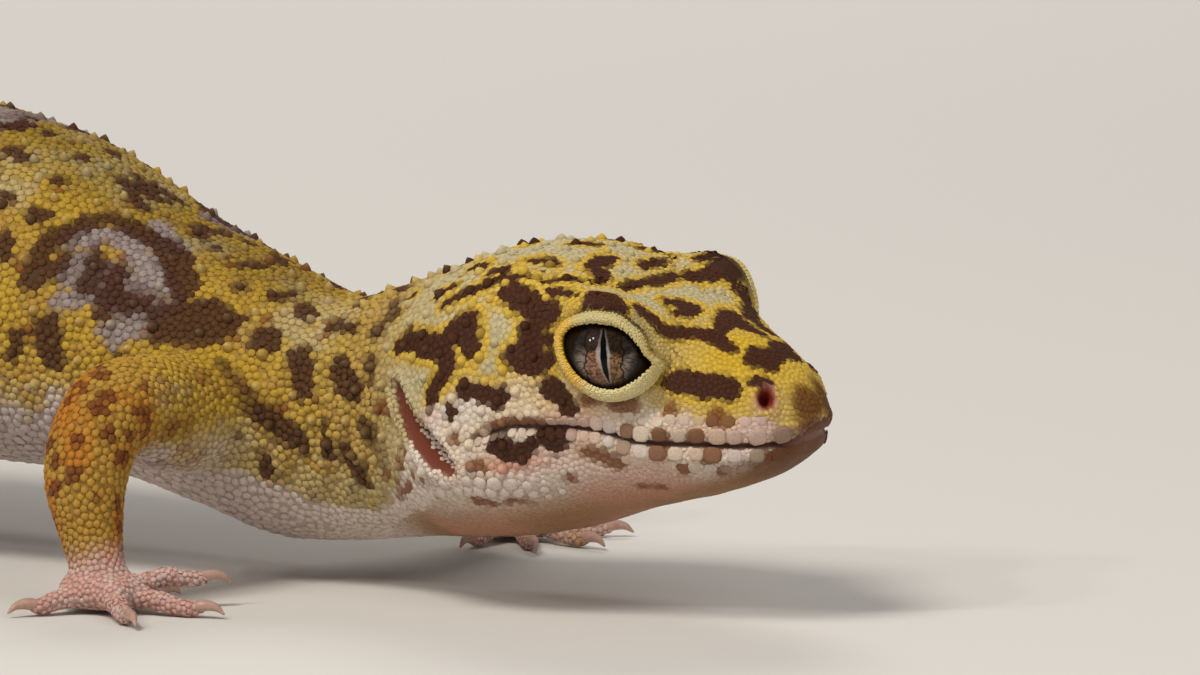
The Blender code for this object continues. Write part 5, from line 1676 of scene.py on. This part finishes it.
HORN = horn("gecko_claw_horn")
for name, leg in LEGS.items():
    rows, quads, tris, first = [], [], [], 0
    for toe in leg[3]:
        path, out = toe_path(leg, *toe)
        reach, rise, radius = CLAW_PROFILE.T
        base = path[-1, :2] + (GAP - CLAW_INSIDE) * out
        claw = np.column_stack([
            base + (CLAW_LENGTH + CLAW_INSIDE) * reach[:, None] * out, 0.58 + toe[2] + rise,
            CLAW_RADIUS * radius,
        ])
        rings = bar(smooth_path(claw, 4), 14, (0.0, 0.0, 1.0))
        faces, fans = tube_faces(*rings.shape[:2])
        points = with_poles(rings)
        points[:, 2] = np.maximum(points[:, 2], 0.0)
        rows.append(points)
        quads.append(faces + first)
        tris.append(fans + first)
        first += len(points)
    mesh = new_mesh(
        f"claws_{name}", in_frame(np.vstack(rows)), np.vstack(quads), np.vstack(tris)
    )
    replaced = [f"{name}_claw_{number}" for number in range(1, 6)]
    add_piece(f"claws_{name}", mesh, None, HORN, "claw", *replaced)

# ---- Floor, light and camera -----------------------------------------------------------
# A pale matt studio floor that runs out of sight, soft light from large panels, and a
# long lens low over the animal's right side.
floor_material = bpy.data.materials.new("studio_floor")
floor_material.use_nodes = True
paper = floor_material.node_tree.nodes["Principled BSDF"]
paper.inputs["Base Color"].default_value = (*linear("#cfcac2"), 1)
paper.inputs["Roughness"].default_value = 0.9
floor_mesh = bpy.data.meshes.new("floor")
corners = [(x, y, -0.0001) for x, y in ((-3, -3), (3, -3), (3, 3), (-3, 3))]
floor_mesh.from_pydata(corners, [], [(0, 1, 2, 3)])
floor_mesh.materials.append(floor_material)
floor = new_object("floor", floor_mesh)

CAMERA_TURN, CAMERA_RISE, CAMERA_AWAY = math.radians(34.0), math.radians(7.0), 550.0
level = np.array([math.sin(CAMERA_TURN), -math.cos(CAMERA_TURN), 0.0])
back = level * math.cos(CAMERA_RISE) + np.array([0.0, 0.0, math.sin(CAMERA_RISE)])
right = np.array([math.cos(CAMERA_TURN), math.sin(CAMERA_TURN), 0.0])
up = np.cross(back, right)
aim = np.array([-14.0, 0.0, 14.0]) - 3.3333 * right + 4.1 * up
camera_data = bpy.data.cameras.new("camera")
camera_data.lens, camera_data.clip_start, camera_data.clip_end = 247.5, 0.05, 20
camera = new_object("camera", camera_data)
turned = Matrix(np.column_stack([right, up, back]).tolist()).to_4x4()
turned.translation = in_frame(aim + CAMERA_AWAY * back)
camera.matrix_world = turned
bpy.context.scene.camera = camera


def panel(name, where, width, power, shade="#ffffff", mirrored=True):
    """A round soft light that faces the animal's chest; wet surfaces mirror it or not."""
    data = bpy.data.lights.new(name, "AREA")
    data.shape, data.size, data.energy, data.color = "DISK", width, power, linear(shade)
    made = new_object(name, data)
    away = Vector(where) - Vector(in_frame(np.array([-35.0, 0.0, 12.0])))
    made.location, made.rotation_euler = where, away.to_track_quat("Z", "Y").to_euler()
    made.visible_glossy = mirrored


panel("key_panel", (0.0, -0.45, 0.75), 0.3, 4.9, "#fffaf4", mirrored=False)
panel("fill_panel", (0.75, -0.25, 0.45), 0.6, 1.8, mirrored=False)
panel("catch_panel", (-0.19, -0.64, 0.52), 0.055, 0.7)
panel("second_catch_panel", (-0.10, -0.61, 0.585), 0.055, 0.7)
panel("rim_panel", (-0.35, 0.6, 0.6), 0.4, 3.4, mirrored=False)
world = bpy.data.worlds.new("studio")
world.use_nodes = True
sky = world.node_tree.nodes["Background"]
sky.inputs["Color"].default_value = (*linear("#d9dade"), 1)
sky.inputs["Strength"].default_value = 0.3
bpy.context.scene.world = world
bpy.context.scene.view_settings.view_transform = "Standard"
